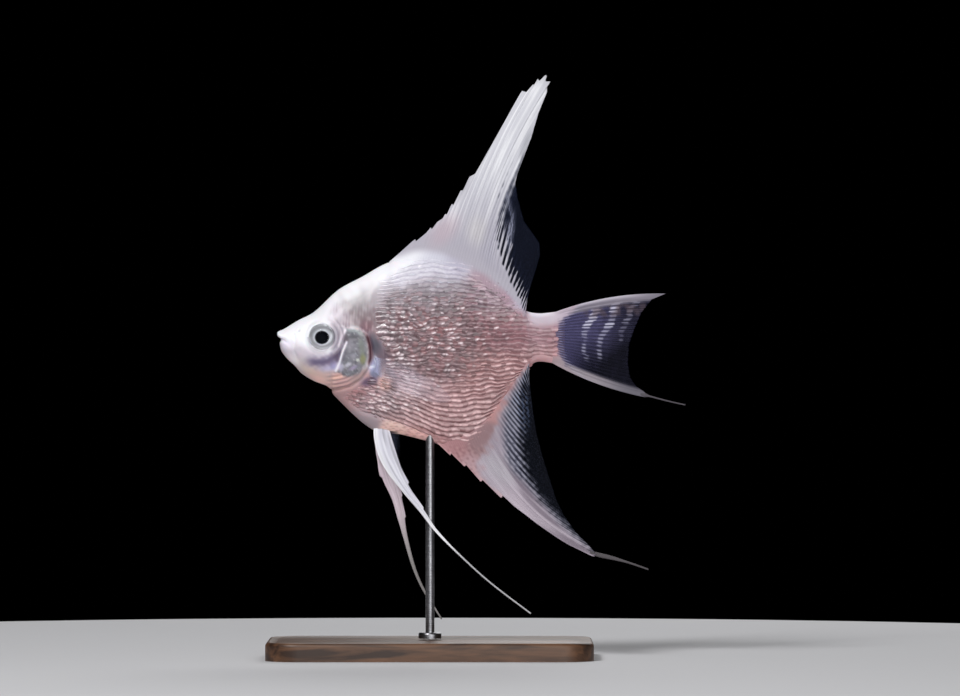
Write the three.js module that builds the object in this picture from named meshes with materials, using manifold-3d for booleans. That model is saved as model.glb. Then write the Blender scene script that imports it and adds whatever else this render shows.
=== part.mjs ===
// A freshwater angelfish (Pterophyllum scalare), life size, as a still display model on a plain stand.
//
// Millimetres, +Z up.  The head points along -X and the left flank faces -Y.  The origin is the centre of
// the stand's underside.  The fish is drawn in its own side view: x runs back from the tip of the snout,
// z runs up from the snout's height, and y is the distance out from the mid-plane.  One group then lifts
// the whole fish onto its stand.

import * as THREE from "three";
import { mergeVertices } from "three/addons/utils/BufferGeometryUtils.js";
import Module from "manifold-3d";

const wasm = await Module();
wasm.setup();

// ---- driving dimensions -------------------------------------------------------------------------------

const STANDARD_LENGTH = 75.5; // tip of the snout to the end of the tail stalk
const SNOUT_ABOVE_FLOOR = 87.8;
const SNOUT_AHEAD_OF_ROD = 41.2;
const GAP = 0.3; // clear space between neighbouring pieces

const BODY_RINGS = 30;
const BODY_SEGMENTS = 24;

const EYE = { x: 12.0, z: -1.1, radius: 4.1, depth: 2.2, sunk: 1.05 };
const GILL_COVER = { thickness: 1.0, proud: 0.35 };

const ROD = { radius: 1.2, intoBelly: 4, segments: 16 };
const BASE = { length: 88, width: 54, height: 5, corner: 9, chamfer: 0.8 };
const COLLAR = { radius: 3.1, height: 1.6 };

const SIDES = { left: -1, right: 1 };

// ---- small helpers ------------------------------------------------------------------------------------

const lerp = THREE.MathUtils.lerp;
const clamp = THREE.MathUtils.clamp;

// A smooth function through [position, value] pairs, with each slope taken from the two neighbours.
function profile(points) {
  const slopes = points.map((_, i) => {
    const before = points[Math.max(i - 1, 0)];
    const after = points[Math.min(i + 1, points.length - 1)];
    return (after[1] - before[1]) / (after[0] - before[0]);
  });
  return (position) => {
    const next = points.findIndex((p) => p[0] > position);
    const i = next < 0 ? points.length - 2 : Math.max(next - 1, 0);
    const span = points[i + 1][0] - points[i][0];
    const t = clamp((position - points[i][0]) / span, 0, 1);
    const start = points[i][1] * (1 + 2 * t) * (1 - t) ** 2 + slopes[i] * span * t * (1 - t) ** 2;
    const end = points[i + 1][1] * (3 - 2 * t) * t ** 2 - slopes[i + 1] * span * (1 - t) * t ** 2;
    return start + end;
  };
}

// A straight-sided path through [number, x, z] triples, as a function of the number.
function polyline(points) {
  return (s) => {
    const next = points.findIndex((p) => p[0] > s);
    const i = next < 0 ? points.length - 2 : Math.max(next - 1, 0);
    const [a, b] = [points[i], points[i + 1]];
    const t = clamp((s - a[0]) / (b[0] - a[0]), 0, 1);
    return [lerp(a[1], b[1], t), lerp(a[2], b[2], t)];
  };
}

// ---- solids -------------------------------------------------------------------------------------------

function solidFrom(geometry) {
  const bare = geometry.index ? geometry.toNonIndexed() : geometry.clone();
  bare.deleteAttribute("normal");
  bare.deleteAttribute("uv");
  const merged = mergeVertices(bare, 1e-4);
  const made = new wasm.Manifold(
    new wasm.Mesh({
      numProp: 3,
      vertProperties: merged.attributes.position.array,
      triVerts: new Uint32Array(merged.index.array),
    }),
  );
  return made;
}

// The largest piece of a cut solid, as a geometry.
function geometryFrom(solid) {
  const pieces = solid.decompose().sort((a, b) => b.volume() - a.volume());
  const mesh = pieces[0].getMesh();
  const positions = new Float32Array(mesh.numVert * 3);
  for (let i = 0; i < mesh.numVert; i++) {
    const start = i * mesh.numProp;
    positions.set(mesh.vertProperties.subarray(start, start + 3), i * 3);
  }
  const geometry = new THREE.BufferGeometry();
  geometry.setAttribute("position", new THREE.BufferAttribute(positions, 3));
  geometry.setIndex(new THREE.BufferAttribute(new Uint32Array(mesh.triVerts), 1));
  geometry.computeVertexNormals();
  return geometry;
}

// A closed skin from rings of equal, even length, each a list of [x, y, z].  Each end is capped by strips
// that join the first half of its ring to the second half, so that an end may bend.
function loft(rings) {
  const count = rings[0].length;
  const index = [];
  for (let r = 0; r < rings.length - 1; r++) {
    for (let k = 0; k < count; k++) {
      const [a, b] = [r * count + k, r * count + ((k + 1) % count)];
      index.push(a, b, b + count, a, b + count, a + count);
    }
  }
  const last = (rings.length - 1) * count;
  for (let k = 0; k < count / 2 - 1; k++) {
    const across = count - 1 - k;
    index.push(k + 1, k, across, k + 1, across, across - 1);
    index.push(last + k, last + k + 1, last + across, last + across, last + k + 1, last + across - 1);
  }
  const geometry = new THREE.BufferGeometry();
  geometry.setAttribute("position", new THREE.Float32BufferAttribute(rings.flat(2), 3));
  geometry.setIndex(index);
  return solidFrom(geometry);
}

// The loft, turned right side out whichever way its rings run.
function solidLoft(rings) {
  const made = loft(rings);
  return made.volume() < 0 ? loft(rings.map((ring) => ring.toReversed())) : made;
}

// A sheet with thickness.  grid[column][row] holds {x, y, z, half}, and half is laid off along y.
function sheet(grid) {
  const rings = grid[0].map((_, row) => {
    const near = grid.map((column) => column[row]).map((p) => [p.x, p.y - p.half, p.z]);
    const far = grid.map((column) => column[row]).map((p) => [p.x, p.y + p.half, p.z]);
    return [...near, ...far.toReversed()];
  });
  return solidLoft(rings);
}

// A prism right through the fish, from an outline in the side view.
function throughPrism(outline) {
  const shape = new THREE.Shape(outline.map(([x, z]) => new THREE.Vector2(x, z)));
  const reach = 40;
  const prism = new THREE.ExtrudeGeometry(shape, { depth: reach, bevelEnabled: false });
  prism.rotateX(Math.PI / 2);
  prism.translate(0, reach / 2, 0);
  return solidFrom(prism);
}

// Everything on the head side of a cut that runs from above the fish to below it, moved back by shift.
function aheadOf(cut, shift) {
  const far = -60;
  const moved = cut.map(([x, z]) => [x + shift, z]);
  return throughPrism([[far, moved[0][1]], ...moved, [far, moved[moved.length - 1][1]]]);
}

// ---- the body -----------------------------------------------------------------------------------------

const backLine = profile([
  [0, 0.25], [1.5, 0.8], [5.5, 3.5], [9.9, 5.9], [16.3, 11.7], [22.8, 15.3], [29.8, 19.0],
  [39.8, 21.1], [50.6, 18.1], [60.1, 11.6], [66.0, 6.5], [70.0, 5.3], [STANDARD_LENGTH, 5.7],
]);
const bellyLine = profile([
  [0, -1.2], [0.6, -4.2], [1.5, -5.9], [4.4, -9.2], [8.8, -12.6], [14.2, -14.9], [16.3, -17.5],
  [25.5, -25.9], [33.6, -27.5], [41.2, -29.4], [47.0, -30.9], [53.0, -28.6], [58.0, -23.8],
  [65.5, -13.2], [68.2, -9.0], [70.5, -7.8], [STANDARD_LENGTH, -8.4],
]);
const flankWidth = profile([
  [0, 0.9], [0.8, 1.7], [3.4, 3.0], [7.7, 4.6], [12.0, 5.7], [18.0, 6.6], [25.0, 6.95],
  [33.0, 6.9], [42.0, 6.1], [52.0, 4.6], [60.0, 3.2], [66.0, 2.2], [71.0, 1.7], [STANDARD_LENGTH, 1.2],
]);

// How far the flank stands out at x, where v runs from -1 at the belly to 1 at the back.
function flank(x, v) {
  return flankWidth(x) * (1 - Math.abs(v) ** 2.1) ** 0.75;
}

function flankAt(x, z) {
  const [top, bottom] = [backLine(x), bellyLine(x)];
  return flank(x, clamp((2 * z - top - bottom) / (top - bottom), -1, 1));
}

// The body grown all round by grow, or with its flanks drawn in by thin.
function body({ grow = 0, thin = 0 } = {}) {
  const rings = [];
  for (let r = 0; r <= BODY_RINGS; r++) {
    const s = r / BODY_RINGS;
    const x = STANDARD_LENGTH * lerp(s, s * s, 0.45);
    const end = r === 0 ? -grow : r === BODY_RINGS ? grow : 0;
    const top = backLine(x) + grow;
    const bottom = bellyLine(x) - grow;
    const ring = [];
    for (let k = 0; k < BODY_SEGMENTS; k++) {
      const angle = (2 * Math.PI * k) / BODY_SEGMENTS;
      const v = Math.sin(angle);
      const out = Math.max(flank(x, v) + grow - thin, 0.04);
      const atEdge = Math.abs(Math.cos(angle)) < 1e-6;
      ring.push([x + end, atEdge ? 0 : Math.sign(Math.cos(angle)) * out, lerp(bottom, top, (v + 1) / 2)]);
    }
    rings.push(ring);
  }
  return solidLoft(rings);
}

const HEAD_CUT = [
  [27.5, 26], [26.8, 12], [25.6, 2.5], [25.75, -2], [25.5, -6], [24.6, -9.4], [22.6, -11.8],
  [19.5, -13.4], [16.4, -14.4], [14.4, -15.2], [12.5, -20],
];
const JAW_CUT = [[-3, -2.0], [0.8, -2.1], [3.8, -3.4], [7.0, -7.6], [9.3, -17]];
const STALK_CUT = [[67.8, 26], [67.8, -40]];
const GILL_COVER_OUTLINE = [
  [18.5, 0.3], [17.4, -3.2], [16.6, -6.8], [16.4, -10.2], [18.4, -12.2], [21.0, -11.8],
  [23.4, -10.0], [24.8, -7.2], [25.1, -4.4], [24.5, -1.0], [22.4, 0.8], [20.2, 1.2],
];

// An outline pushed out from its own middle by a distance.
function pushedOut(outline, distance) {
  const middle = outline.reduce((sum, [x, z]) => [sum[0] + x, sum[1] + z], [0, 0]);
  const [mx, mz] = middle.map((total) => total / outline.length);
  return outline.map(([x, z]) => {
    const reach = Math.hypot(x - mx, z - mz);
    return [mx + ((x - mx) * (reach + distance)) / reach, mz + ((z - mz) * (reach + distance)) / reach];
  });
}

// One side of the mid-plane, as a big box.
function halfSpace(side) {
  const box = new THREE.BoxGeometry(400, 200, 400);
  box.translate(0, side * 100, 0);
  return solidFrom(box);
}

function eyeball(side, grow = 0) {
  const ball = new THREE.SphereGeometry(1, 16, 9);
  ball.rotateX(Math.PI / 2);
  ball.scale(EYE.radius + grow, EYE.depth + grow, EYE.radius + grow);
  ball.translate(EYE.x, side * (flankAt(EYE.x, EYE.z) - EYE.sunk), EYE.z);
  return solidFrom(ball);
}

function rodHole() {
  const hole = new THREE.CylinderGeometry(ROD.radius + GAP, ROD.radius + GAP, 30, ROD.segments);
  hole.rotateX(Math.PI / 2);
  hole.translate(SNOUT_AHEAD_OF_ROD, 0, rodTop() + GAP - 15);
  return solidFrom(hole);
}

// The height of the rod's end inside the belly, in the fish's own side view.
function rodTop() {
  return bellyLine(SNOUT_AHEAD_OF_ROD) + ROD.intoBelly;
}

// Head, jaw, gill covers, trunk and tail stalk: one body, parted by thin cuts.
function fleshSolids() {
  const whole = body();
  const raised = body({ grow: GILL_COVER.proud });
  const underCover = body({ thin: GILL_COVER.thickness });
  const behindCover = body({ thin: GILL_COVER.thickness + GAP });
  const solids = {};

  const coverPrism = throughPrism(GILL_COVER_OUTLINE);
  const coverRoom = throughPrism(pushedOut(GILL_COVER_OUTLINE, GAP)).subtract(behindCover);
  const covers = raised.intersect(coverPrism).subtract(underCover);
  for (const [name, side] of Object.entries(SIDES)) {
    solids[`gill_cover_${name}`] = covers.intersect(halfSpace(side));
  }

  let head = whole.intersect(aheadOf(HEAD_CUT, -GAP / 2)).subtract(coverRoom);
  for (const side of Object.values(SIDES)) head = head.subtract(eyeball(side, GAP));
  solids.lower_jaw = head.intersect(aheadOf(JAW_CUT, -GAP / 2));
  solids.head = head.subtract(aheadOf(JAW_CUT, GAP / 2));

  const behindHead = whole.subtract(aheadOf(HEAD_CUT, GAP / 2));
  solids.trunk = behindHead.intersect(aheadOf(STALK_CUT, -GAP / 2)).subtract(rodHole());
  solids.tail_stalk = behindHead.subtract(aheadOf(STALK_CUT, GAP / 2));
  return solids;
}

// ---- fins that stand on the mid-plane -----------------------------------------------------------------

// A fin of many rays.  root and tip give a ray's two ends as [x, z], bend bows it by a share of its length,
// and each takes the ray's number, which runs from 0 at the front.  Between two rays the web is thinner and
// its edge is drawn in by notch.  sway moves the fin sideways, for a share s across it and t out along a ray.
function fan({ root, tip, bend, rays, rows, rootHalf = FIN.rootHalf, notch, sway }) {
  const grid = [];
  for (let column = 0; column <= 2 * (rays - 1); column++) {
    const ray = column / 2;
    const onRay = column % 2 === 0;
    const [rx, rz] = root(ray);
    const [fx, fz] = tip(ray);
    const reach = onRay ? 1 : 1 - notch;
    const [tx, tz] = [lerp(rx, fx, reach), lerp(rz, fz, reach)];
    const bow = bend(ray);
    const [cx, cz] = [(rx + tx) / 2 - (tz - rz) * bow, (rz + tz) / 2 + (tx - rx) * bow];
    grid.push([]);
    for (let r = 0; r <= rows; r++) {
      const t = r / rows;
      const [a, b, d] = [(1 - t) ** 2, 2 * t * (1 - t), t * t];
      const thin = onRay ? FIN.rayHalf * lerp(1, 0.75, t) : FIN.webHalf;
      grid[column].push({
        x: a * rx + b * cx + d * tx,
        z: a * rz + b * cz + d * tz,
        y: sway(ray / (rays - 1), t),
        half: Math.max(lerp(rootHalf, thin, Math.min(1, 3 * t)), FIN.webHalf),
      });
    }
  }
  return sheet(grid);
}

const FIN = { rayHalf: 0.42, webHalf: 0.26, rootHalf: 0.95, rootDepth: 2.2 };
const DORSAL = { front: 30.6, back: 67.0, rays: 25, rows: 5 };
const ANAL = { front: 45.0, back: 68.2, rays: 23, rows: 5 };
const TAIL = { into: 1.6, top: 5.2, bottom: -8.0, rays: 17, rows: 5 };

function dorsalFin() {
  const rootX = (ray) => lerp(DORSAL.front, DORSAL.back, ray / (DORSAL.rays - 1));
  return fan({
    root: (ray) => [rootX(ray), backLine(rootX(ray)) - FIN.rootDepth],
    tip: polyline([
      [0, 30.1, 19.5], [3, 35.5, 23.6], [6, 42.0, 28.9], [8, 46.4, 34.2], [10, 52.4, 43.0],
      [11, 65.4, 65.0], [12, 67.6, 65.6], [13, 72.2, 69.7], [14, 73.7, 68.4], [15.5, 68.7, 52.6],
      [17, 65.0, 42.0], [18, 64.6, 36.0], [20, 67.4, 29.0], [21, 70.7, 23.6], [22.5, 70.6, 17.6],
      [24, 67.8, 8.4],
    ]),
    bend: profile([[0, 0], [9, 0.06], [11, 0.08], [14, 0.1], [19, 0.04], [24, 0]]),
    rays: DORSAL.rays,
    rows: DORSAL.rows,
    notch: 0.03,
    sway: (s, t) => 1.1 * Math.sin(2.6 * s + 0.4) * t * t,
  });
}

function analFin() {
  const rootX = (ray) => lerp(ANAL.front, ANAL.back, ray / (ANAL.rays - 1));
  return fan({
    root: (ray) => [rootX(ray), bellyLine(rootX(ray)) + FIN.rootDepth],
    tip: polyline([
      [0, 44.6, -31.2], [2, 50.0, -36.0], [4, 55.0, -40.2], [6, 60.4, -44.4], [8, 66.4, -48.6],
      [9, 76.3, -55.7], [10, 85.9, -61.0], [11, 86.6, -60.2], [12, 81.6, -55.4], [14, 75.4, -46.6],
      [16, 72.4, -39.2], [18, 70.4, -31.4], [20, 68.9, -22.6], [22, 68.0, -12.6],
    ]),
    bend: profile([[0, 0], [8, -0.12], [10, -0.2], [12, -0.16], [16, -0.06], [22, 0]]),
    rays: ANAL.rays,
    rows: ANAL.rows,
    notch: 0.03,
    sway: (s, t) => -0.9 * Math.sin(2.4 * s + 0.5) * t * t,
  });
}

function tailFin() {
  const last = TAIL.rays - 1;
  return fan({
    root: (ray) => [STANDARD_LENGTH - TAIL.into, lerp(TAIL.top, TAIL.bottom, ray / last)],
    tip: polyline([
      [0, 104.9, 10.1], [1, 101.0, 8.7], [3, 98.2, 5.4], [5.5, 96.4, 1.2], [8, 94.9, -3.2],
      [10.5, 94.6, -8.2], [13, 95.2, -12.0], [14.5, 96.8, -14.8], [15, 99.6, -16.4], [16, 99.3, -17.3],
    ]),
    bend: profile([[0, 0.1], [5, 0.02], [11, -0.02], [16, -0.08]]),
    rays: TAIL.rays,
    rows: TAIL.rows,
    rootHalf: 0.8,
    notch: 0.02,
    sway: (s, t) => 1.4 * t * t,
  });
}

// ---- paired fins and streamers ------------------------------------------------------------------------

// A ribbon along a path of [x, y, z] points.  halfWidth(t) is laid off across the path in the side view.
function ribbon({ path, from = 0, to = 1, steps, halfWidth, half, across = [-1, -0.45, 0.45, 1] }) {
  const curve = new THREE.CatmullRomCurve3(path.map((p) => new THREE.Vector3(...p)));
  const grid = across.map(() => []);
  for (let r = 0; r <= steps; r++) {
    const t = lerp(from, to, r / steps);
    const at = curve.getPointAt(t);
    const along = curve.getTangentAt(t);
    const flat = Math.hypot(along.x, along.z);
    const [nx, nz] = [-along.z / flat, along.x / flat];
    across.forEach((share, c) => {
      const off = share * halfWidth(t);
      const edge = Math.abs(share) === 1;
      grid[c].push({ x: at.x + nx * off, y: at.y, z: at.z + nz * off, half: half(t) * (edge ? 0.6 : 1) });
    });
  }
  return sheet(grid);
}

const PELVIC = {
  left: {
    path: [
      [28.0, -1.6, -24.6], [28.7, -2.3, -28.6], [30.5, -3.2, -33.8], [34.1, -4.6, -41.6],
      [38.9, -5.6, -48.1], [43.0, -6.2, -53.2], [48.2, -6.6, -58.7], [57.4, -6.9, -67.2],
      [68.4, -7.0, -75.6],
    ],
    streamerFrom: 0.47,
    width: [[0, 1.9], [0.1, 2.3], [0.18, 2.1], [0.3, 1.5], [0.38, 1.0], [0.47, 0.52], [1, 0.36]],
  },
  right: {
    path: [
      [27.4, 1.6, -24.6], [28.1, 2.6, -29.0], [28.7, 3.4, -33.0], [30.1, 4.8, -39.2],
      [32.2, 5.8, -44.9], [33.4, 6.5, -50.6], [34.8, 7.1, -56.5], [36.6, 7.6, -62.4],
      [39.2, 8.0, -69.0], [44.2, 8.2, -77.6],
    ],
    streamerFrom: 0.56,
    width: [[0, 1.7], [0.14, 2.4], [0.26, 2.15], [0.38, 1.5], [0.48, 1.05], [0.56, 0.7], [1, 0.4]],
  },
};
const PELVIC_ROOT_HALF = 0.8;
const STREAMER_HALF = 0.32;

function pelvicFin(side) {
  const { path, streamerFrom, width } = PELVIC[side];
  return ribbon({
    path,
    to: streamerFrom,
    steps: 14,
    halfWidth: profile(width),
    half: (t) => lerp(PELVIC_ROOT_HALF, STREAMER_HALF, Math.min(1, t / streamerFrom)),
  });
}

function pelvicStreamer(side) {
  const { path, streamerFrom, width } = PELVIC[side];
  return ribbon({
    path,
    from: streamerFrom + 0.006,
    steps: 12,
    halfWidth: profile(width),
    half: () => STREAMER_HALF,
    across: [-1, 0, 1],
  });
}

// The threads that trail from the lower tips of the anal and tail fins.
const ANAL_THREAD = [[86.8, -0.75, -60.1], [90.5, -0.6, -61.0], [95.0, -0.3, -62.2], [100.2, 0.2, -63.9]];
const TAIL_THREAD = [[100.0, 1.4, -17.0], [103.4, 1.6, -17.9], [106.6, 1.9, -18.7], [110.2, 2.3, -19.5]];

function thread(path, thick) {
  return ribbon({
    path,
    steps: 6,
    halfWidth: (t) => lerp(thick, 0.27, t),
    half: () => 0.29,
    across: [-1, 0, 1],
  });
}

// A small clear paddle that sweeps back from behind the gill cover and stands a little off the flank.
const PECTORAL = { x: 26.3, top: -6.6, bottom: -10.4, away: 0.27, rays: 9, rows: 5, clear: 1.0 };

function pectoralFin(side) {
  const edge = polyline([
    [0, 34.5, -8.6], [0.25, 43.0, -13.6], [0.5, 46.8, -17.8], [0.75, 42.0, -18.6], [1, 32.6, -15.4],
  ]);
  const start = flankAt(PECTORAL.x, PECTORAL.top) + PECTORAL.clear;
  const grid = [];
  for (let c = 0; c < PECTORAL.rays; c++) {
    const s = c / (PECTORAL.rays - 1);
    const [tx, tz] = edge(s);
    const column = [];
    for (let r = 0; r <= PECTORAL.rows; r++) {
      const t = r / PECTORAL.rows;
      const x = lerp(PECTORAL.x, tx, t);
      column.push({
        x,
        y: side * (start + PECTORAL.away * (x - PECTORAL.x) - 0.25 * Math.sin(Math.PI * s)),
        z: lerp(lerp(PECTORAL.top, PECTORAL.bottom, s), tz, t),
        half: lerp(0.45, 0.27, t),
      });
    }
    grid.push(column);
  }
  return sheet(grid);
}

// ---- the stand ----------------------------------------------------------------------------------------

function standBase() {
  const [a, b] = [BASE.length / 2 - BASE.chamfer, BASE.width / 2 - BASE.chamfer];
  const r = BASE.corner - BASE.chamfer;
  const plan = new THREE.Shape();
  plan.moveTo(-a + r, -b);
  plan.lineTo(a - r, -b);
  plan.absarc(a - r, -b + r, r, -Math.PI / 2, 0);
  plan.lineTo(a, b - r);
  plan.absarc(a - r, b - r, r, 0, Math.PI / 2);
  plan.lineTo(-a + r, b);
  plan.absarc(-a + r, b - r, r, Math.PI / 2, Math.PI);
  plan.lineTo(-a, -b + r);
  plan.absarc(-a + r, -b + r, r, Math.PI, 1.5 * Math.PI);
  const slab = new THREE.ExtrudeGeometry(plan, {
    depth: BASE.height - 2 * BASE.chamfer,
    bevelThickness: BASE.chamfer,
    bevelSize: BASE.chamfer,
    bevelSegments: 1,
    curveSegments: 5,
  });
  slab.translate(0, 0, BASE.chamfer);
  return solidFrom(slab);
}

function standCollar() {
  const [inner, outer] = [ROD.radius + GAP, COLLAR.radius];
  const [low, high] = [BASE.height + GAP, BASE.height + GAP + COLLAR.height];
  const ring = [[inner, low], [outer, low], [outer, high - 0.4], [outer - 0.4, high], [inner, high], [inner, low]];
  const lathe = new THREE.LatheGeometry(ring.map((p) => new THREE.Vector2(...p)), 20);
  lathe.rotateX(Math.PI / 2);
  return solidFrom(lathe);
}

function standRod() {
  const [low, high] = [BASE.height + GAP, SNOUT_ABOVE_FLOOR + rodTop()];
  const rod = new THREE.CylinderGeometry(ROD.radius, ROD.radius, high - low, ROD.segments);
  rod.rotateX(Math.PI / 2);
  rod.translate(0, 0, (low + high) / 2);
  return solidFrom(rod);
}

// ---- materials ----------------------------------------------------------------------------------------

function finish(color, roughness, metalness = 0) {
  return new THREE.MeshStandardMaterial({ color, roughness, metalness });
}

const MATERIALS = {
  pearl_skin: finish(0xf2eef2, 0.35),
  rosy_scales: finish(0xb98f90, 0.35),
  gill_plate: finish(0xa9a8b4, 0.3, 0.1),
  eye: finish(0x2a2c33, 0.08),
  fin_white: finish(0xdcd8e2, 0.45),
  fin_clear: finish(0xb9bccb, 0.3),
  walnut: finish(0x4a3023, 0.45),
  steel: finish(0xb5b7ba, 0.3, 1),
};

// ---- assembly -----------------------------------------------------------------------------------------

const fish = new THREE.Group();
fish.position.set(-SNOUT_AHEAD_OF_ROD, 0, SNOUT_ABOVE_FLOOR);
const stand = new THREE.Group();
const model = new THREE.Group();
model.add(fish, stand);

function place(group, name, solid, material) {
  const mesh = new THREE.Mesh(geometryFrom(solid), material);
  mesh.name = name;
  group.add(mesh);
}

const flesh = fleshSolids();
const fleshWithGap = body({ grow: GAP });
place(fish, "head", flesh.head, MATERIALS.pearl_skin);
place(fish, "lower_jaw", flesh.lower_jaw, MATERIALS.pearl_skin);
place(fish, "trunk", flesh.trunk, MATERIALS.rosy_scales);
place(fish, "tail_stalk", flesh.tail_stalk, MATERIALS.rosy_scales);
place(fish, "dorsal_fin", dorsalFin().subtract(fleshWithGap), MATERIALS.fin_white);
place(fish, "anal_fin", analFin().subtract(fleshWithGap), MATERIALS.fin_white);
place(fish, "anal_streamer", thread(ANAL_THREAD, 0.62), MATERIALS.fin_white);
place(fish, "tail_fin", tailFin().subtract(fleshWithGap), MATERIALS.fin_white);
place(fish, "tail_streamer", thread(TAIL_THREAD, 0.5), MATERIALS.fin_white);
for (const [name, side] of Object.entries(SIDES)) {
  place(fish, `gill_cover_${name}`, flesh[`gill_cover_${name}`], MATERIALS.gill_plate);
  place(fish, `eye_${name}`, eyeball(side), MATERIALS.eye);
  place(fish, `pectoral_fin_${name}`, pectoralFin(side), MATERIALS.fin_clear);
  place(fish, `pelvic_fin_${name}`, pelvicFin(name).subtract(fleshWithGap), MATERIALS.fin_white);
  place(fish, `pelvic_streamer_${name}`, pelvicStreamer(name), MATERIALS.fin_white);
}
place(stand, "stand_base", standBase(), MATERIALS.walnut);
place(stand, "stand_collar", standCollar(), MATERIALS.steel);
place(stand, "stand_rod", standRod(), MATERIALS.steel);

export default model;
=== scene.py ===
# %% [markdown]
# # A freshwater angelfish on a display stand
#
# This lesson dresses a plain, faceted fish in its real looks. The frame gives every piece its place and
# size. Blender adds one smooth skin over the head and trunk, a coat of small scales, finely rayed fins,
# layered eyes, and a walnut and steel stand. Sizes below are in millimetres, measured back from the tip
# of the snout (x) and up from its height (z), because that is how a fish is drawn. Two small functions
# turn them into metres in the frame.

import math

import bpy
import numpy as np
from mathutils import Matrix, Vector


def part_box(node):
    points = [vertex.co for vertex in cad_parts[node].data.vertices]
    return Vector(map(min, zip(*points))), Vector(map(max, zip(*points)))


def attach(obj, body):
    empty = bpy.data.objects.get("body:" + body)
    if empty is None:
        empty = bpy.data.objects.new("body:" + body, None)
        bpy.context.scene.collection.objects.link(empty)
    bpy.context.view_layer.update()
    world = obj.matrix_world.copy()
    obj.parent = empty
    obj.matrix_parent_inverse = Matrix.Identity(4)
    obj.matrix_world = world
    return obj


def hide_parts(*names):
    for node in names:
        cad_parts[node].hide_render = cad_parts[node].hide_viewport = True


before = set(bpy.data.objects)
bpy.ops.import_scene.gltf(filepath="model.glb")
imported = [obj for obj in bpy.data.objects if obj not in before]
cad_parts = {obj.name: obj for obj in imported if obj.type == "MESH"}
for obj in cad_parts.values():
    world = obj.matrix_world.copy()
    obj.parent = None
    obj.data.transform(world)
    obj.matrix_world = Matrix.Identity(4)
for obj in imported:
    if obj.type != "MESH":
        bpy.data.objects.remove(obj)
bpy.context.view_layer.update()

# %% [markdown]
# ## Where the fish is
#
# The head's lowest x is the tip of the snout, and the eye gives the height. Left is towards -Y. Everything
# else on the fish is worked out from these, so the looks land on the frame with no fitting.

# %% Fish places to metres
MM = 0.001
EYE = {"x": 12.0, "z": -1.1}
snout_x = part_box("head")[0].x
eye_low, eye_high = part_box("eye_left")
snout_z = (eye_low.z + eye_high.z) / 2 - EYE["z"] * MM
SIDES = {"left": -1, "right": 1}


def in_frame(x, y, z):
    """Points of the fish, in millimetres, as an array of places in the frame, in metres."""
    return np.column_stack([snout_x + x * MM, y * MM, snout_z + z * MM])


print(f"snout at x {snout_x:.4f} m, {snout_z:.4f} m above the floor")

# %% [markdown]
# ## Curves through a few points
#
# A fish is all smooth outlines. `profile` gives a smooth curve through a few named points, `path_distance`
# says how far a place is from a drawn line, and `ease` is a soft step. With these three, a fold, a rim or a
# marking is one line of code.

# %% Curve helpers
def profile(*points):
    """A smooth function through (position, value) pairs."""
    at, value = np.array(points, float).T
    slope = np.empty(len(at))
    slope[1:-1] = (value[2:] - value[:-2]) / (at[2:] - at[:-2])
    slope[0] = (value[1] - value[0]) / (at[1] - at[0])
    slope[-1] = (value[-1] - value[-2]) / (at[-1] - at[-2])

    def curve(position):
        i = np.clip(np.searchsorted(at, position, side="right") - 1, 0, len(at) - 2)
        span = at[i + 1] - at[i]
        t = np.clip((position - at[i]) / span, 0, 1)
        start = value[i] * (1 + 2 * t) * (1 - t) ** 2 + slope[i] * span * t * (1 - t) ** 2
        end = value[i + 1] * (3 - 2 * t) * t**2 - slope[i + 1] * span * (1 - t) * t**2
        return start + end

    return curve


def ease(low, high, value):
    """0 below low, 1 above high, and a soft step between. low may be the larger of the two."""
    t = np.clip((value - low) / (high - low), 0, 1)
    return t * t * (3 - 2 * t)


def path_distance(x, z, path):
    """Distance from a path of straight stretches, signed: positive on its left, looking along it."""
    best = np.full(np.shape(x), 1e9)
    sign = np.ones(np.shape(x))
    for (ax, az), (bx, bz) in zip(path[:-1], path[1:]):
        dx, dz = bx - ax, bz - az
        share = np.clip(((x - ax) * dx + (z - az) * dz) / (dx * dx + dz * dz), 0, 1)
        off_x, off_z = x - ax - share * dx, z - az - share * dz
        away = np.hypot(off_x, off_z)
        nearer = away < best
        best = np.where(nearer, away, best)
        sign = np.where(nearer, np.where(dx * off_z - dz * off_x >= 0, 1, -1), sign)
    return best * sign


def bell(distance, width):
    return np.exp(-((distance / width) ** 2))


def waves(x, z, size, seed):
    """Soft, repeatable unevenness from -1 to 1, with lumps about size across."""
    total = np.zeros(np.shape(x))
    turns = np.random.default_rng(seed).uniform(0, 2 * math.pi, (7, 3))
    for angle, phase, stretch in turns:
        k = 2 * math.pi / (size * (1.4 + 0.5 * math.sin(stretch)))
        total = total + np.sin(k * (x * math.cos(angle) + z * math.sin(angle)) + phase)
    return total / 3.2


# %% [markdown]
# ## The body's shape
#
# Three curves hold the whole body: the back, the belly, and how wide the fish is at each place. Between back
# and belly the flank bulges like a lens, so its half-width needs only one formula.

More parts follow.
